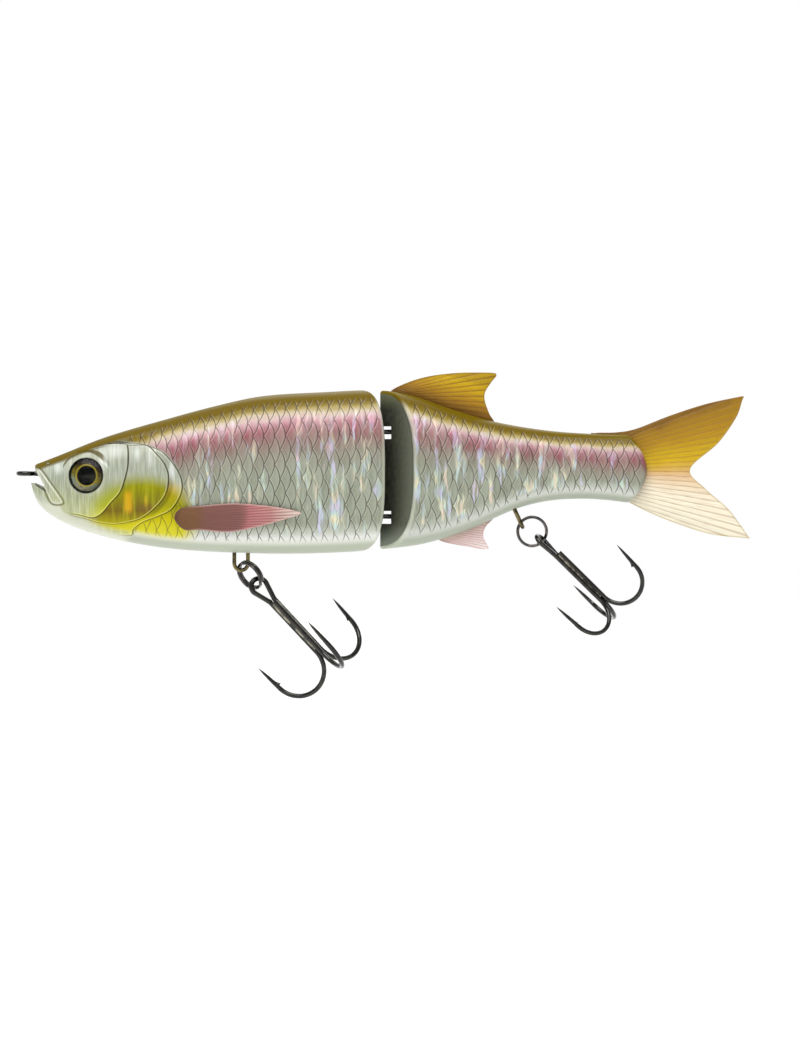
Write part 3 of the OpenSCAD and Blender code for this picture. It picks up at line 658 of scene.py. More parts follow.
def wedge_paint_gap_shade():
    paint = Paint("wedge_paint_gap_shade")
    x, y, z = paint.place()
    out = abs(y)
    # Painted shade: darkest at the apex, deep in the gap behind the front section, lighter towards
    # the flank edge.
    base = paint.ramp(out / 11, [
        (0.0, (44, 46, 40)), (0.3, (62, 64, 54)), (0.7, (96, 100, 86)), (0.95, (118, 124, 108))])
    base = base.mix(z.step(15.0, 20.5), (112, 116, 88))
    base = base.mix(z.step(-11.5, -18), (132, 140, 126))
    mottle = paint.noise((x, y, z), 0.9, 4.0, 0.6)
    base = base.mix(mottle.step(0.4, 0.7) * 0.25, (120, 118, 92))
    normal = paint.bump(mottle, 0.04, 0.5)
    return paint.finish(Base_Color=base, Metallic=0.15, Roughness=0.34 + mottle * 0.2,
                        Normal=normal, Coat_Weight=0.5, Coat_Roughness=0.1)


def metal(name, colour, dark, roughness, metallic=1.0, scratch=0.5, gloss=0.0):
    """Plated wire: fine scratches and dull patches under a thin bright skin."""
    paint = Paint(name)
    x, y, z = paint.place()
    patch = paint.noise((x, y, z), 0.55, 3.0, 0.55)
    fine = paint.noise((x, y, z), 6.0, 2.0, 0.6)
    base = paint.mix(patch.step(0.38, 0.66), dark, colour)
    rough = roughness + fine * 0.14
    normal = paint.bump(fine, 0.012, scratch)
    return paint.finish(Base_Color=base, Metallic=metallic, Roughness=rough, Normal=normal,
                        Coat_Weight=gloss, Coat_Roughness=0.08, Coat_IOR=GLOSS_IOR)


def fin_skin(name, colours, ray_colour, ray_share, edge_colour, ray_width=0.16):
    """Moulded fin rubber: colours from the root outward, with dark rays."""
    paint = Paint(name)
    x, _, z = paint.place()
    ray, along = paint.uv("rays")
    rim, tone = paint.uv("rim")
    drift = paint.noise((x * 0.16, 1.0, z * 0.16))
    base = paint.ramp(tone + (drift - 0.5) * 0.12, colours)
    wave = abs(paint.math("FRACT", ray) - 0.5)
    fibre = paint.noise((ray * 6.0, along * 5.0, 1.0))
    dash = paint.noise((paint.math("FLOOR", ray), along * 9.0, 4.0))
    width = ray_width * 0.6 + dash * (ray_width * 0.8)
    dark = (wave / width).step(1.0, 0.25)
    dark = dark * ray_share * along.step(0.02, 0.14)
    base = base.mix(fibre.step(0.4, 0.7) * 0.22, ray_colour)
    base = base.mix(dark * (0.5 + dash * 0.9), ray_colour)
    edge = paint.mix(tone.step(0.04, 0.3), ray_colour, edge_colour)
    base = base.mix(rim.step(0.45, 0.1) * 0.6, edge)
    height = wave.step(0.0, 0.3) * 0.6 + fibre * 0.4
    return paint.finish(Base_Color=base, Roughness=0.36 + fibre * 0.15,
                        Normal=paint.bump(height, 0.1, 0.6), Specular_IOR_Level=0.25)


def eye_print(name, side):
    """Printed iris: dark rim, silver and olive iris, yellow ring and black pupil."""
    paint = Paint(name)
    x, y, z = paint.place()
    toe = math.radians(EYE_TOE_IN)
    across = (x - EYE_AT[0]) * math.cos(toe) + (y - side * EYE_AT[1]) * (-side * math.sin(toe))
    up = z - EYE_AT[2]
    radius = paint.radius(across, up)
    shade_way = (up + across * 0.35) / 4.4
    fibre = paint.noise((across * 0.9, 1.0, up * 0.9), 1.3, 3.0)
    iris = paint.ramp(0.5 + shade_way * 0.5, [
        (0.08, (186, 172, 140)), (0.26, (150, 166, 146)), (0.44, (160, 146, 44)),
        (0.62, (120, 98, 22)), (0.74, (62, 48, 30)), (0.88, (84, 74, 84))])
    iris = iris.mix(fibre.step(0.45, 0.65) * 0.4, (64, 66, 26))
    iris = iris.mix(radius.step(2.95, 2.5) * 0.9, (206, 184, 60))
    iris = iris.mix(radius.step(2.42, 2.28), (2, 2, 4))
    iris = iris.mix(radius.step(3.55, 3.95), (18, 22, 12))
    return paint.finish(Base_Color=iris, Metallic=0.2, Roughness=0.3 + fibre * 0.15,
                        Specular_IOR_Level=0.1)


def clear_resin():
    paint = Paint("eye_resin")
    x, y, z = paint.place()
    ripple = paint.noise((x, y, z), 0.6, 1.0)
    return paint.finish(Base_Color=(250, 252, 250), Roughness=0.02, IOR=1.16,
                        Transmission_Weight=1.0, Normal=paint.bump(ripple, 0.02, 0.2))


def floor_paint():
    paint = Paint("studio_floor")
    x, y, z = paint.place()
    cloud = paint.noise((x, y, z), 0.004, 2.0)
    base = paint.mix(cloud, (251, 251, 250), (253, 253, 253))
    return paint.finish(Base_Color=base, Roughness=0.9)


SKIN = painted_skin()
WEDGE = wedge_paint_gap_shade()
BLACK_NICKEL = metal("black_nickel_plate", (46, 44, 38), (20, 19, 17), 0.13, gloss=1.0)
# Pale filler metal, whose paleness is a painted highlight on the treble shanks.
BRAZE_HIGHLIGHT = metal("brazed_nickel_highlight", (156, 151, 132), (56, 54, 44), 0.14, gloss=0.5)
HANGER_STEEL = metal("hanger_wire_steel", (122, 108, 66), (56, 50, 28), 0.13, gloss=0.5)
RING_STEEL = metal("ring_steel", (96, 90, 88), (44, 42, 40), 0.12, gloss=0.9)
PIN_STEEL = metal("pin_wire_steel", (170, 170, 166), (140, 140, 136), 0.2)
BALLAST = metal("ballast_casting", (120, 122, 126), (92, 94, 98), 0.42, 0.9, 1.0)
RESIN = clear_resin()


# ---------------- body shells
def stations(length, spacing, start, end):
    """Places along a row from 0 to 1, closer together over the rounded start and end."""
    quarter = np.linspace(0, math.pi / 2, 9)[:-1]
    first = start * (1 - np.cos(quarter))
    last = length - end * (1 - np.sin(np.linspace(0, math.pi / 2, 8)))
    count = int((length - start - end) / spacing)
    middle = np.linspace(start, length - end, count + 1)[:-1]
    return np.concatenate([first, middle, last]) / length


def scale_map(x, points):
    """Scale coordinates: pitches along the body, and rows from the middle of the flank."""
    step = np.linalg.norm(np.diff(points[..., 1:], axis=1), axis=-1)
    run = np.concatenate([np.zeros((len(step), 1)), np.cumsum(step, axis=1)], axis=1)
    middle = run.shape[1] // 2
    row = SCALE_ROW + (SCALE_ROW_TAIL - SCALE_ROW) * smooth(104, 150, x)
    above = run[:, middle:middle + 1] - run
    return np.stack([x / SCALE_PITCH + 0.62, above / row + 0.36], axis=-1)


def net_gap(net):
    """Distance to the nearest scale edge, in pitches."""
    u, v = net[..., 0], net[..., 1]
    row = np.floor(v)
    t = v - row
    odd = (row % 2) * 0.5
    first = (u - odd - 0.5 * (1 - t ** SCALE_POWER)) % 1
    second = (u - (0.5 - odd) - 0.5 * (1 - (1 - t) ** SCALE_POWER)) % 1
    return np.minimum(np.minimum(first, 1 - first), np.minimum(second, 1 - second))


def band_scale(x):
    """How much the colour bands narrow where the body does."""
    return hermite([(0, 0.55), (12, 0.7), (28, 0.85), (44, 0.93), (60, 1), (90, 0.97), (102, 0.85),
                    (114, 0.72), (128, 0.62), (155, 0.66)], x)


def relief(x, z, net, depth, rise):
    """How far the skin is sunk: scales, the steps at the gill plates, jaw, nostril and brow."""
    plates = {name: signed_distance(x, z, rounded(outline, 5)) for name, outline in
              (("cheek", CHEEK), ("opercle", OPERCLE), ("gill", GILL_EDGE), ("strip", JAW_STRIP))}
    body = smooth(0.1, 0.8, -plates["gill"]) * smooth(24, 27, x)
    scaled = body * smooth(1.6, 3.2, depth) * smooth(2.4, 4.4, rise)
    sunk = 0.075 * scaled * (1 - smooth(0, 0.3, net_gap(net)))
    away = smooth(1.4, 3.4, depth) * smooth(0.8, 2.4, rise)
    for name, step, reach in (("cheek", 0.36, 2.6), ("opercle", 0.42, 3.0), ("gill", 0.42, 5.0)):
        outside = -plates[name]
        ledge = smooth(-0.15, 0.3, outside) * np.exp(-np.clip(outside, 0, None) / reach)
        sunk += step * ledge * away * smooth(13, 19, x - 0.35 * z)
    groove = np.exp(-(plates["strip"] / 0.28) ** 2)
    sunk += (0.16 * groove - 0.12 * smooth(-0.1, 0.5, plates["strip"])) * smooth(1.6, 3.0, x)
    eye = np.hypot(x - EYE_AT[0], z - EYE_AT[2])
    brow = np.exp(-((eye - 6.05) / 0.3) ** 2) * smooth(1.2, 3.4, z - EYE_AT[2])
    socket = 0.6 * np.exp(-((eye - 5.3) / 0.45) ** 2)
    sunk += (0.3 * brow - 0.1 * socket) * (x < 40)
    nostril = np.hypot((x - 5.6) / 1.15, (z - 2.4) / 0.75)
    sunk += 0.35 * np.exp(-(nostril / 0.42) ** 2)
    return sunk, plates


def skin_rows(from_x, to_x, places, angles, lip):
    """Outer skin as a grid of points, with its maps. lip holds the radii of its two edges."""
    x = from_x + (to_x - from_x) * places[:, None]
    a = np.broadcast_to(angles, x.shape)
    plain = skin(x, a)
    net = scale_map(x, plain)
    back, belly = hermite(BACK, x), hermite(BELLY, x)
    z = plain[..., 2]
    depth = (back - z) / band_scale(x)
    rise = (z - belly) / band_scale(x)
    sunk, plates = relief(x, z, net, back - z, z - belly)
    for radius, distance in zip(lip, (x - from_x, to_x - x)):
        if radius:
            near = np.clip(1 - distance / radius, 0, 1)
            sunk = sunk + radius * (1 - np.sqrt(1 - near ** 2))
    maps = {"net": net, "bands": np.stack([depth, rise], -1),
            "plates": np.stack([plates["cheek"], plates["opercle"]], -1),
            "edges": np.stack([plates["gill"], plates["strip"]], -1),
            "ends": np.stack([x - from_x + 0 * a, to_x - x + 0 * a], -1)}
    return skin(x, a, sunk), maps


def cap_rows(ring, seam_x, steps):
    """Rows from a ring of skin points in to the seam line, without the ring itself."""
    seam = ring.copy()
    seam[:, 0] = seam_x
    seam[:, 1] = 0
    share = np.arange(1, steps + 1)[:, None, None] / steps
    return ring + (seam - ring) * share


def cavity_rows(start, end, angles, count):
    """Rows of a cavity from its front end to its rear end, closed at both."""
    x = start + (end - start) * np.linspace(0, 1, count)[:, None] + 0 * angles
    inner = skin(x, np.broadcast_to(angles, x.shape), WALL)
    return np.concatenate([cap_rows(inner[0], start, 1), inner, cap_rows(inner[-1], end, 1)])


def half_shell(name, rows, maps, front_cap, rear_cap, cavity, slots):
    """Closed half shell from its outer rows, the rows of its two ends and those of its cavity."""
    grid = np.concatenate([front_cap[::-1], rows, rear_cap])
    n, m = grid.shape[:2]
    inner_n, inner_m = cavity.shape[:2]
    points = np.concatenate([grid.reshape(-1, 3), cavity.reshape(-1, 3)])
    faces = grid_faces(n, m) + grid_faces(inner_n, inner_m, n * m, flip=True)
    row = np.arange(n - 1)
    on_end = np.where(row < len(front_cap), 1, np.where(row >= n - 1 - len(rear_cap), 1, 0))
    on_cavity = np.full((inner_n - 1) * (inner_m - 1), 1)
    face_slots = np.concatenate([np.repeat(on_end, m - 1), on_cavity])
    padded = {}
    for key, values in maps.items():
        ends = [np.repeat(edge, len(cap), 0) for edge, cap in
                ((values[:1], front_cap), (values[-1:], rear_cap))]
        outer = np.concatenate([ends[0], values, ends[1]]).reshape(-1, 2)
        padded[key] = np.concatenate([outer, np.zeros((inner_n * inner_m, 2))])
    mesh = make_mesh(name, points, faces, slots, face_slots, padded)
    close_up(mesh, seam=True)
    return add_object(name, mesh)


def eye_place():
    """The left eye's own frame, its z axis running outward."""
    return (Matrix.Translation(EYE_AT) @ Matrix.Rotation(math.radians(-EYE_TOE_IN), 4, "Z")
            @ Matrix.Rotation(math.pi / 2, 4, "X"))


# Where the two cavities start and end, the rounding of the skin's edges, and the rows' spacing.
FRONT_CAVITY, FRONT_CAVITY_GAP = 8.5, 4.2
REAR_CAVITY = (98.5, 141)
FRONT_LIP, REAR_LIPS = 0.7, (0.8, 1.7)
ROW_SPACING, FRONT_LENGTH, REAR_LENGTH = 0.3, 88.6, 60


def front_half():
    angles = even_angles(150)
    height = np.abs(round_off(np.cos(angles)))
    edge = EDGE_X + EDGE_DEPTH * (1 - height ** EDGE_POWER) ** (1 / EDGE_POWER)
    places = stations(FRONT_LENGTH, ROW_SPACING, NOSE_ROUND, FRONT_LIP)
    rows, maps = skin_rows(NOSE_X + 0.001, edge, places, angles, (0, FRONT_LIP))
    hollow = edge + REAR_HOLLOW * rows[-1][:, 1] / HALF_WIDTH
    cap = cap_rows(rows[-1], hollow, 10)
    inner_angles = even_angles(24)
    inner_edge = np.interp(inner_angles, angles, edge) - FRONT_CAVITY_GAP
    cavity = cavity_rows(FRONT_CAVITY, inner_edge, inner_angles, 24)
    slots = [SKIN, WEDGE]
    piece = half_shell("front_shell_left_skin", rows, maps, rows[:0], cap, cavity, slots)
    # The mouth's cut faces take the wedge paint, whose dark middle paints shade inside the mouth.
    mouth = prism("mouth_cutter", MOUTH, -14, 1, slots)
    socket = disc("socket_cutter", eye_place(), (EYE_D + 0.1) / 2, -1.2, 12, slots)
    cut(piece, mouth, socket)
    return piece


def rear_half():
    angles = even_angles(120, 98)
    edge = WEDGE_X - WEDGE_SLOPE * skin(np.full_like(angles, WEDGE_X + 6), angles)[:, 1]
    tail = TAIL_EDGE_X + TAIL_BULGE * (1 - round_off(np.cos(angles)) ** 2)
    places = stations(REAR_LENGTH, ROW_SPACING, *REAR_LIPS)
    rows, maps = skin_rows(edge, tail, places, angles, REAR_LIPS)
    wedge = cap_rows(rows[0], WEDGE_X, 14)
    end = cap_rows(rows[-1], tail, 4)
    cavity = cavity_rows(*REAR_CAVITY, even_angles(24, 98), 20)
    slots = [SKIN, WEDGE]
    piece = half_shell("rear_shell_left_skin", rows, maps, wedge, end, cavity, slots)
    cutters = []
    half = POCKET_H / 2
    for z in POCKET_Z:
        place = Matrix.Translation((PIN_X, 0, z))
        cutters.append(disc("pocket_cutter", place, POCKET_R - 0.2, -half, half, slots))
        low, high = z - half + 0.01, z + half - 0.01
        box = [(PIN_X - 6, low), (PIN_X - 2.3, low), (PIN_X - 2.3, high), (PIN_X - 6, high)]
        cutters.append(prism("throat_cutter", box, -3, 3, slots))
    cut(piece, *cutters)
    return piece


def dress(piece, body, node):
    """Hangs a piece on its body's empty and hides the CAD node that it stands in for, if any."""
    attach(piece, body)
    if node:
        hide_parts(node)


front_left = front_half()
front_right = mirrored(front_left, "front_shell_right_skin")
rear_left = rear_half()
rear_right = mirrored(rear_left, "rear_shell_right_skin")
for piece, node, body in ((front_left, "front_shell_left", "front_section"),
                          (front_right, "front_shell_right", "front_section"),
                          (rear_left, "rear_shell_left", "rear_section"),
                          (rear_right, "rear_shell_right", "rear_section")):
    shade(piece.data)
    dress(piece, body, node)


# ---------------- fins
PECTORAL = [(37.7, -11), (39.3, -8.7), (44, -8), (52, -7.3), (60, -7.8), (66, -8.7), (69, -9.75),
            (65, -11.2), (58, -13.2), (51, -14.5), (44, -14), (40, -13.9)]
PECTORAL_PEG, PECTORAL_Y, PECTORAL_T = (41.5, -11.8), -10.55, 0.9
DORSAL = [(91.2, 20.6), (95.5, 22.8), (100.7, 24.3), (107, 25.1), (113.5, 25.25), (117.6, 24.9),
          (116.3, 22.8), (114.8, 20.4), (114.7, 18.2), (115.8, 15), (117, 12.2), (110, 14.3),
          (104, 15.8), (98, 17.6), (92.6, 19.2)]
ANAL = [(102.8, -15.4), (104.5, -17.1), (110.3, -18.2), (115.5, -18.9), (114.3, -15.8),
        (114.9, -13.3), (117.2, -10.4), (110, -12.7)]
TAIL = [(141.2, 9.2), (142.5, 10.15), (147.5, 10.3), (152.5, 11.2), (161, 14.5), (170, 17.4),
        (178.3, 19.2), (179.4, 19.3), (179, 18.2), (177.5, 14), (173, 7.6), (166, 1.1),
        (169.6, -3.6), (175.3, -8.6), (178.4, -12.6), (180.4, -15.5), (180.9, -16.2),
        (179.6, -16.1), (171.5, -15.2), (163.5, -12.8), (156, -9.8), (149.5, -6.6),
        (145.5, -5.2), (144, 1.5)]
FIN_T = 1.0

TAIL_PAINT = fin_skin("tail_fin_rubber", [
    (0.0, (112, 78, 10)), (0.06, (146, 108, 8)), (0.2, (164, 124, 6)), (0.32, (184, 150, 0)),
    (0.42, (196, 160, 6)), (0.5, (200, 162, 74)), (0.57, (214, 180, 140)), (0.66, (222, 204, 174)),
    (0.76, (230, 220, 198)), (1.0, (226, 220, 198))],
    (134, 96, 48), 0.42, (168, 146, 92), 0.17)
DORSAL_PAINT = fin_skin("dorsal_fin_rubber", [
    (0.0, (104, 72, 8)), (0.14, (130, 92, 10)), (0.36, (162, 120, 8)), (0.6, (180, 142, 4)),
    (0.85, (190, 154, 0)), (1.0, (168, 136, 4))],
    (116, 74, 16), 0.58, (130, 98, 20), 0.2)
ANAL_PAINT = fin_skin("anal_fin_rubber", [
    (0.0, (206, 182, 172)), (0.3, (234, 206, 202)), (0.7, (236, 216, 213)), (1.0, (238, 226, 222))],
    (140, 96, 88), 0.55, (214, 178, 176), 0.2)
PECTORAL_PAINT = fin_skin("pectoral_fin_rubber", [
    (0.0, (70, 44, 30)), (0.05, (104, 70, 40)), (0.2, (112, 76, 44)), (0.24, (116, 76, 64)),
    (0.5, (124, 80, 76)), (0.54, (138, 88, 84)), (0.58, (174, 108, 108)), (0.75, (184, 128, 124)),
    (0.88, (200, 170, 160)), (1.0, (220, 206, 194))],
    (100, 62, 62), 0.6, (200, 164, 156), 0.3)


def fan(focus, pitch, first=0.0):
    """Ray number of a fan of straight rays: pitch in degrees between two rays."""
    return lambda x, z: np.degrees(np.arctan2(z - focus[1], x - focus[0])) / pitch + first


def fin(name, outline, thickness, rays, along, tone, paint, rim_share=0.5, ridge=0.06):
    """Fin plate with raised rays, full thickness inside and thin at its rim."""
    low, high = np.min(outline, 0), np.max(outline, 0)
    border = np.clip(rounded(outline, 8), low, high)
    spread = 0.36
    gx, gz = np.meshgrid(np.arange(low[0], high[0], spread), np.arange(low[1], high[1], spread))
    gx[1::2] += spread / 2
    keep = signed_distance(gx, gz, border) > 0.22
    flat = np.concatenate([border, np.stack([gx[keep], gz[keep]], -1)])
    made = delaunay_2d_cdt([Vector(p) for p in flat], [], [list(range(len(border)))], 1, 1e-7)
    flat = np.array([tuple(p) for p in made[0]])
    triangles = [tuple(t) for t in made[2]]
    x, z = flat.T
    rim = np.maximum(signed_distance(x, z, border), 0)
    number = rays(x, z)
    wave = np.cos(2 * math.pi * number)
    half = thickness / 2 * (rim_share + (1 - rim_share) * smooth(0, 2.6, rim)) - ridge
    half = half + ridge * (0.5 + 0.5 * wave) * smooth(0.1, 1.2, rim)
    n = len(flat)
    points = np.concatenate([np.stack([x, -half, z], -1), np.stack([x, half, z], -1)])
    seen = dict.fromkeys(edge for a, b, c in triangles for edge in ((a, b), (b, c), (c, a)))
    sides = [(b, a, a + n, b + n) for a, b in seen if (b, a) not in seen]
    faces = triangles + [(a + n, c + n, b + n) for a, b, c in triangles] + sides
    maps = {"rays": np.stack([number, along(x, z)], -1), "rim": np.stack([rim, tone(x, z)], -1)}
    maps = {key: np.concatenate([v, v]) for key, v in maps.items()}
    mesh = make_mesh(name, points, faces, [paint], maps=maps)
    close_up(mesh)
    shade(mesh, 50)
    return add_object(name, mesh)


def above_back(x, z):
    return np.clip(z - hermite(BACK, np.minimum(x, 118)), 0, 40)


def below_belly(x, z):
    return np.clip(hermite(BELLY, x) - z, 0, 40)


def tail_fin():
    angle = fan((128, 0.5), 1)
    return fin("tail_fin_skin", TAIL, FIN_T, fan((128, 0.5), 1.9, 0.5),
               lambda x, z: np.clip((x - 149) / 24, 0, 1) + 0.05,
               lambda x, z: np.clip((21.5 - angle(x, z)) / 41, 0, 1), TAIL_PAINT)


def dorsal_fin():
    return fin("dorsal_fin_skin", DORSAL, FIN_T, fan((86, 19.0), 3.0, 0.3),
               lambda x, z: np.clip(above_back(x, z) / 6, 0, 1) + 0.06,
               lambda x, z: np.clip(above_back(x, z) / 9, 0, 1), DORSAL_PAINT)


def anal_fin():
    return fin("anal_fin_skin", ANAL, FIN_T, fan((90, -12.5), 1.5, 0.2),
               lambda x, z: np.clip(below_belly(x, z) / 5, 0, 1) + 0.05,
               lambda x, z: np.clip(below_belly(x, z) / 6, 0, 1), ANAL_PAINT, ridge=0.05)


def pectoral_fin(name):
    """Fin blade that lies along the flank, set over its peg."""
    piece = fin(name, PECTORAL, PECTORAL_T, fan((12, -12.6), 0.82, 0.3),
                lambda x, z: np.clip((x - 43) / 3, 0, 1),
                lambda x, z: np.clip((x - 37.6) / 31.6, 0, 1), PECTORAL_PAINT, 0.35, 0.06)
    peg = Vector((PECTORAL_PEG[0] * MM, 0, PECTORAL_PEG[1] * MM))
    place = (Matrix.Translation(Vector((peg.x, PECTORAL_Y * MM, peg.z)))
             @ Matrix.Rotation(math.radians(9), 4, "X") @ Matrix.Rotation(math.radians(-2), 4, "Z"))
    piece.data.transform(place @ Matrix.Translation(-peg - Vector((0, PECTORAL_T / 2 * MM, 0))))
    return piece


dress(tail_fin(), "rear_section", "tail_fin")
dress(dorsal_fin(), "rear_section", "dorsal_fin")
dress(anal_fin(), "rear_section", "anal_fin")
left_fin = pectoral_fin("left_pectoral_fin_skin")
right_fin = mirrored(left_fin, "right_pectoral_fin_skin")
dress(right_fin, "front_section", "right_pectoral_fin")
dress(left_fin, "front_section", "left_pectoral_fin")

# ---------------- wire, rings and hooks
HANGER_AT = (53.8, -22.45)
RING_R, RING_WIRE = 3.6, 0.8
RING_REST, RING_DIP, RING_TURN = 0.1, 52, -38
TAIL_RING_AT = (126.52, -14.47)
BELLY_TREBLE = {"length": 32, "reach": 15.2, "wire": 1.3, "trail": 47, "turn": -102.5}
TAIL_TREBLE = {"length": 29.5, "reach": 12.8, "wire": 1.2, "trail": 44.6, "turn": -161}
SHANK_GAP, POINT_SHARE, POINT_FLARE = 0.06, 0.545, 4
HOOK_INSET, BEND_THIN = 0.09, 0.96
# In wire diameters: the eye's far side, and where the shanks and the filler start below the eye.
EYE_TIP, DOUBLE_START, SINGLE_START, FILLER_START = 2.05, 1.6, 2, 2.3


def unit(v):
    return v / np.linalg.norm(v, axis=-1, keepdims=True)


class Wire:
    """Round wires swept along paths, gathered into one mesh."""

    def __init__(self, sides=18):
        self.sides, self.points, self.faces = sides, [], []

    def sweep(self, path, normals, radii, barbs=None):
        """normals lie across the bend; barbs says how far the wire's inner line stands in."""
        path, radii = np.array(path, float), np.array(radii, float)
        normals = np.broadcast_to(np.array(normals, float), path.shape)
        way = unit(np.gradient(path, axis=0))
        inward = unit(np.cross(normals, way))
        across = np.cross(way, inward)
        turn = np.arange(self.sides) * 2 * math.pi / self.sides
        ring = (np.cos(turn)[:, None] * inward[:, None] + np.sin(turn)[:, None] * across[:, None])
        points = path[:, None] + radii[:, None, None] * ring
        if barbs is not None:
            share = np.clip(1 - np.abs((turn + math.pi) % (2 * math.pi) - math.pi) / 0.5, 0, 1)
            points = points + (np.array(barbs)[:, None] * share)[..., None] * inward[:, None]
        first = sum(len(p) for p in self.points)
        self.points.append(points.reshape(-1, 3))
        n, k = len(path), self.sides
        for i in range(n - 1):
            for j in range(k):
                a, b = first + i * k + j, first + i * k + (j + 1) % k
                self.faces.append((a, b, b + k, a + k))
        self.faces.append(tuple(first + j for j in range(k))[::-1])
        self.faces.append(tuple(first + (n - 1) * k + j for j in range(k)))

    def build(self, name, paint, place):
        mesh = make_mesh(name, np.concatenate(self.points), self.faces, [paint])
        moved = place.copy()
        moved.translation = moved.translation * MM
        mesh.transform(moved)
        close_up(mesh)
        shade(mesh, 45)
        return add_object(name, mesh)


def shank_offset(d):
    return (d + SHANK_GAP) / math.sqrt(3)


def hook_line(length, reach, wire, azimuth, shank_start):
    """One hook from its point round the bend and up the shank, as rows of place, radius and barb
    height, and the direction across its bend."""
    a = math.radians(azimuth)
    out = np.array([math.cos(a), math.sin(a), 0])
    up = np.array([0, 0, 1.0])
    near = shank_offset(wire)
    bend_r = (reach - wire / 2 - near) / 2
    bend_z = length - wire / 2 - bend_r
    flare = math.radians(POINT_FLARE)
    end_z, end_out = bend_z + bend_r * math.sin(flare), near + bend_r * (1 + math.cos(flare))
    point = [(0, 0.03, 0), (0.07, 0.2, 0), (0.18, 0.4, 0), (0.32, 0.58, 0), (0.5, 0.74, 0),
             (0.68, 0.84, 0), (0.75, 0.87, 0.08), (0.82, 0.9, 0.22), (0.88, 0.93, 0.38),
             (0.9, 0.94, 0.44), (0.906, 0.94, 0.04), (0.92, 0.95, 0), (0.96, 0.97, 0)]
    rows = []
    for share, size, barb in point:
        z = end_z - (end_z - POINT_SHARE * length) * (1 - share)
        rows.append((out * (end_out + (end_z - z) * math.tan(flare)) + up * z,
                     size * wire / 2 * BEND_THIN, barb * wire))
    for b in np.radians(np.linspace(POINT_FLARE, 180, 36)):
        r = bend_r - HOOK_INSET * math.sin(b)
        rows.append((out * (near + bend_r + r * math.cos(b)) + up * (bend_z + r * math.sin(b)),
                     wire / 2 * BEND_THIN, 0))
    for z in np.linspace(bend_z, shank_start, 8)[1:]:
        rows.append((out * near + up * z, wire / 2, 0))
    return rows, np.array([-math.sin(a), math.cos(a), 0])


def eye_line(wire, shank_start):
    """The teardrop eye between the two shanks of a double hook."""
    eye_r = 1.55 * wire
    tip = eye_r + wire / 2
    side, drop = (wire + SHANK_GAP) / 2, shank_start - tip
    lean = math.asin(eye_r / math.hypot(side, drop)) - math.atan2(side, drop)
    turn = lean - (math.pi + 2 * lean) * np.linspace(0, 1, 34)
    return [(np.array([-shank_offset(wire) / 2, eye_r * math.cos(a), tip + eye_r * math.sin(a)]),
             wire / 2, 0) for a in turn]


def treble_place(at, treble):
    """Where a treble's own frame stands: its eye round the far side of its ring."""
    tip = EYE_TIP * treble["wire"]
    return (Matrix.Translation((at[0], 0, at[1]))
            @ Matrix.Rotation(math.radians(90 + treble["trail"]), 4, "Y")
            @ Matrix.Rotation(math.radians(treble["turn"]), 4, "Z")
            @ Matrix.Translation((shank_offset(treble["wire"]) / 2, 0, -tip)))


def sweep_rows(wire, rows, normals):
    wire.sweep([r[0] for r in rows], normals, [r[1] for r in rows], [r[2] for r in rows])


def double_hook(name, treble, place):
    length, reach, d = treble["length"], treble["reach"], treble["wire"]
    start = (2 * EYE_TIP + DOUBLE_START) * d
    down, across = hook_line(length, reach, d, 120, start)
    back, back_across = hook_line(length, reach, d, -120, start)
    eye = eye_line(d, start)
    normals = np.concatenate([np.repeat([way], len(rows), 0) for way, rows in
                              ((-across, down), ((1.0, 0, 0), eye), (back_across, back))])
    wire = Wire()
    sweep_rows(wire, down + eye + back[::-1], normals)
    return wire.build(name, BLACK_NICKEL, place)


def single_hook(name, treble, place):
    length, reach, d = treble["length"], treble["reach"], treble["wire"]
    rows, across = hook_line(length, reach, d, 0, (2 * EYE_TIP + SINGLE_START) * d)
    wire = Wire()
    sweep_rows(wire, rows, -across)
    return wire.build(name, BLACK_NICKEL, place)


def braze(name, treble, place):
    """Filler metal in the valleys between the single hook's shank and the other two, pale and
    widened near the eye as a painted highlight on the shank.
    """
    d = treble["wire"]
    near, start = shank_offset(d), (2 * EYE_TIP + FILLER_START) * d
    bend_r = (treble["reach"] - d / 2 - near) / 2
    end = treble["length"] - d / 2 - bend_r - 0.6 * d
    wire = Wire(12)
    for side in (-1, 1):
        a = math.radians(60 * side)
        out = np.array([math.cos(a), math.sin(a), 0])
        z = np.linspace(start, end, 22)
        thicker = 1 - smooth(0.32, 0.44, np.linspace(0, 1, 22))
        size = (0.26 + 0.11 * thicker) * d * np.sin(np.linspace(0.25, math.pi - 0.25, 22)) ** 0.4
        size = size * (1 + 0.1 * np.sin(z * 5.1 + side) * np.sin(z * 1.7))
        path = [out * (near / 2 + 0.24 * d) + np.array([0, 0, v]) for v in z]
        wire.sweep(path, [-math.sin(a), math.cos(a), 0], size)
    return wire.build(name, BRAZE_HIGHLIGHT, place)


def split_ring(name, place):
    """Two turns of wire side by side, with its two ends cut square."""
    turn = np.linspace(0.0, 4 * math.pi - 0.62, 150)
    rise = RING_WIRE * (smooth(2 * math.pi - 0.55, 2 * math.pi - 0.03, turn) - 0.5)
    path = np.stack([RING_R * np.cos(turn), RING_R * np.sin(turn), rise], -1)
    wire = Wire(16)
    wire.sweep(path, [0, 0, 1], np.full(len(turn), RING_WIRE / 2 - 0.015))
    return wire.build(name, RING_STEEL, place)


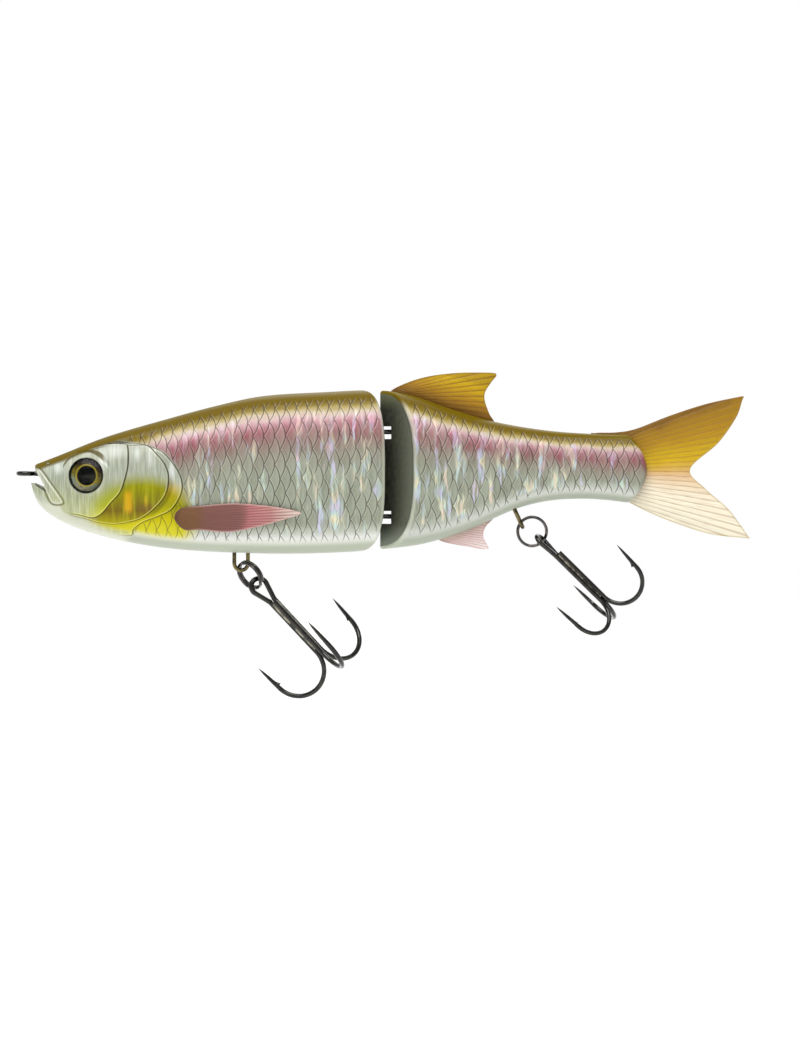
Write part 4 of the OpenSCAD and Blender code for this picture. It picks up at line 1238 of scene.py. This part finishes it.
def ring_places():
    dip = math.radians(RING_DIP)
    belly = (Matrix.Translation((HANGER_AT[0], 0, HANGER_AT[1])) @ Matrix.Rotation(dip, 4, "Y")
             @ Matrix.Translation((RING_REST + RING_R, 0, 0))
             @ Matrix.Rotation(math.radians(RING_TURN), 4, "X"))
    tail = (Matrix.Translation((TAIL_RING_AT[0], 0, TAIL_RING_AT[1]))
            @ Matrix.Rotation(math.pi / 2, 4, "X"))
    return belly, tail


def tackle():
    belly_ring, tail_ring = ring_places()
    reach = RING_REST + 2 * RING_R
    dip, trail = math.radians(RING_DIP), math.radians(TAIL_TREBLE["trail"])
    belly_end = (HANGER_AT[0] + reach * math.cos(dip), HANGER_AT[1] - reach * math.sin(dip))
    tail_end = (TAIL_RING_AT[0] + RING_R * math.cos(trail),
                TAIL_RING_AT[1] - RING_R * math.sin(trail))
    for side, ring, end, treble in (("belly", belly_ring, belly_end, BELLY_TREBLE),
                                    ("tail", tail_ring, tail_end, TAIL_TREBLE)):
        coil = split_ring(side + "_split_ring_coil", ring)
        dress(coil, side + "_ring", side + "_split_ring")
        place = treble_place(end, treble)
        double = double_hook(side + "_double_hook_wire", treble, place)
        single = single_hook(side + "_single_hook_wire", treble, place)
        filler = braze(side + "_treble_braze", treble, place)
        for piece, node in ((double, side + "_double_hook"), (single, side + "_single_hook"),
                            (filler, None)):
            dress(piece, side + "_treble", node)


tackle()

# ---------------- materials on the frame's own nodes
for paint, nodes in (
        (BLACK_NICKEL, ("line_tie_wire", "upper_hinge_eye", "lower_hinge_eye")),
        (HANGER_STEEL, ("belly_hanger_wire", "tail_hanger_wire")),
        (PIN_STEEL, ("hinge_pin",)),
        (BALLAST, ("forward_ballast", "belly_ballast", "rear_ballast")),
        (eye_print("left_eye_print", 1), ("left_eye_disc",)),
        (eye_print("right_eye_print", -1), ("right_eye_disc",)),
        (RESIN, ("left_eye_dome", "right_eye_dome"))):
    for node in nodes:
        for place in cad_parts[node].material_slots:
            place.material = paint


# ---------------- studio
CAMERA_AT, CAMERA_LENS = (0.0935, -1.083, -0.0116), 150
FLOOR_HALF, FLOOR_DROP = 3.0, 0.05
SKY_LIGHT, SKY_SEEN = 0.56, 1.0
SUN_SPREAD, KEY_SIZE = 50, (0.8, 0.16)
# Name, kind, place, what it points at, and strength.
LIGHTS = (("sun", "SUN", (-0.2, -0.8, 1.3), (0, 0, 0), 2.05),
          ("back", "SUN", (0.3, 0.9, 0.8), (0, 0, 0), 0.7),
          ("key", "AREA", (0.0, -0.5, 0.55), (0.09, 0, 0), 0.9))


def lay_floor():
    mesh = bpy.data.meshes.new("floor")
    half, low = FLOOR_HALF, cad_box[0][2] - FLOOR_DROP
    corners = [(-half, -half, low), (half, -half, low), (half, half, low), (-half, half, low)]
    mesh.from_pydata(corners, [], [(0, 1, 2, 3)])
    mesh.materials.append(floor_paint())
    add_object("floor", mesh)


def make_sky():
    """White all round: full strength to the camera, less as light."""
    world = bpy.data.worlds.new("studio")
    bpy.context.scene.world = world
    world.use_nodes = True
    nodes, links = world.node_tree.nodes, world.node_tree.links
    background, seen = nodes["Background"], nodes.new("ShaderNodeLightPath")
    strength = nodes.new("ShaderNodeMapRange")
    strength.inputs["To Min"].default_value = SKY_LIGHT
    strength.inputs["To Max"].default_value = SKY_SEEN
    links.new(seen.outputs["Is Camera Ray"], strength.inputs["Value"])
    links.new(strength.outputs["Result"], background.inputs[1])
    background.inputs[0].default_value = (1, 1, 1, 1)


def hang_light(name, kind, at, look, power):
    light = bpy.data.lights.new(name, kind)
    light.energy = power
    if kind == "SUN":
        light.angle = math.radians(SUN_SPREAD)
    else:
        light.shape = "RECTANGLE"
        light.size, light.size_y = KEY_SIZE
    lamp = add_object(name, light)
    lamp.location = at
    lamp.rotation_euler = (Vector(look) - Vector(at)).to_track_quat("-Z", "Y").to_euler()


def set_camera():
    camera = bpy.data.cameras.new("camera")
    camera.lens = CAMERA_LENS
    eye = add_object("camera", camera)
    eye.location = CAMERA_AT
    eye.rotation_euler = (math.pi / 2, 0, 0)
    bpy.context.scene.camera = eye


lay_floor()
make_sky()
for light in LIGHTS:
    hang_light(*light)
set_camera()
bpy.context.scene.view_settings.view_transform = "Standard"
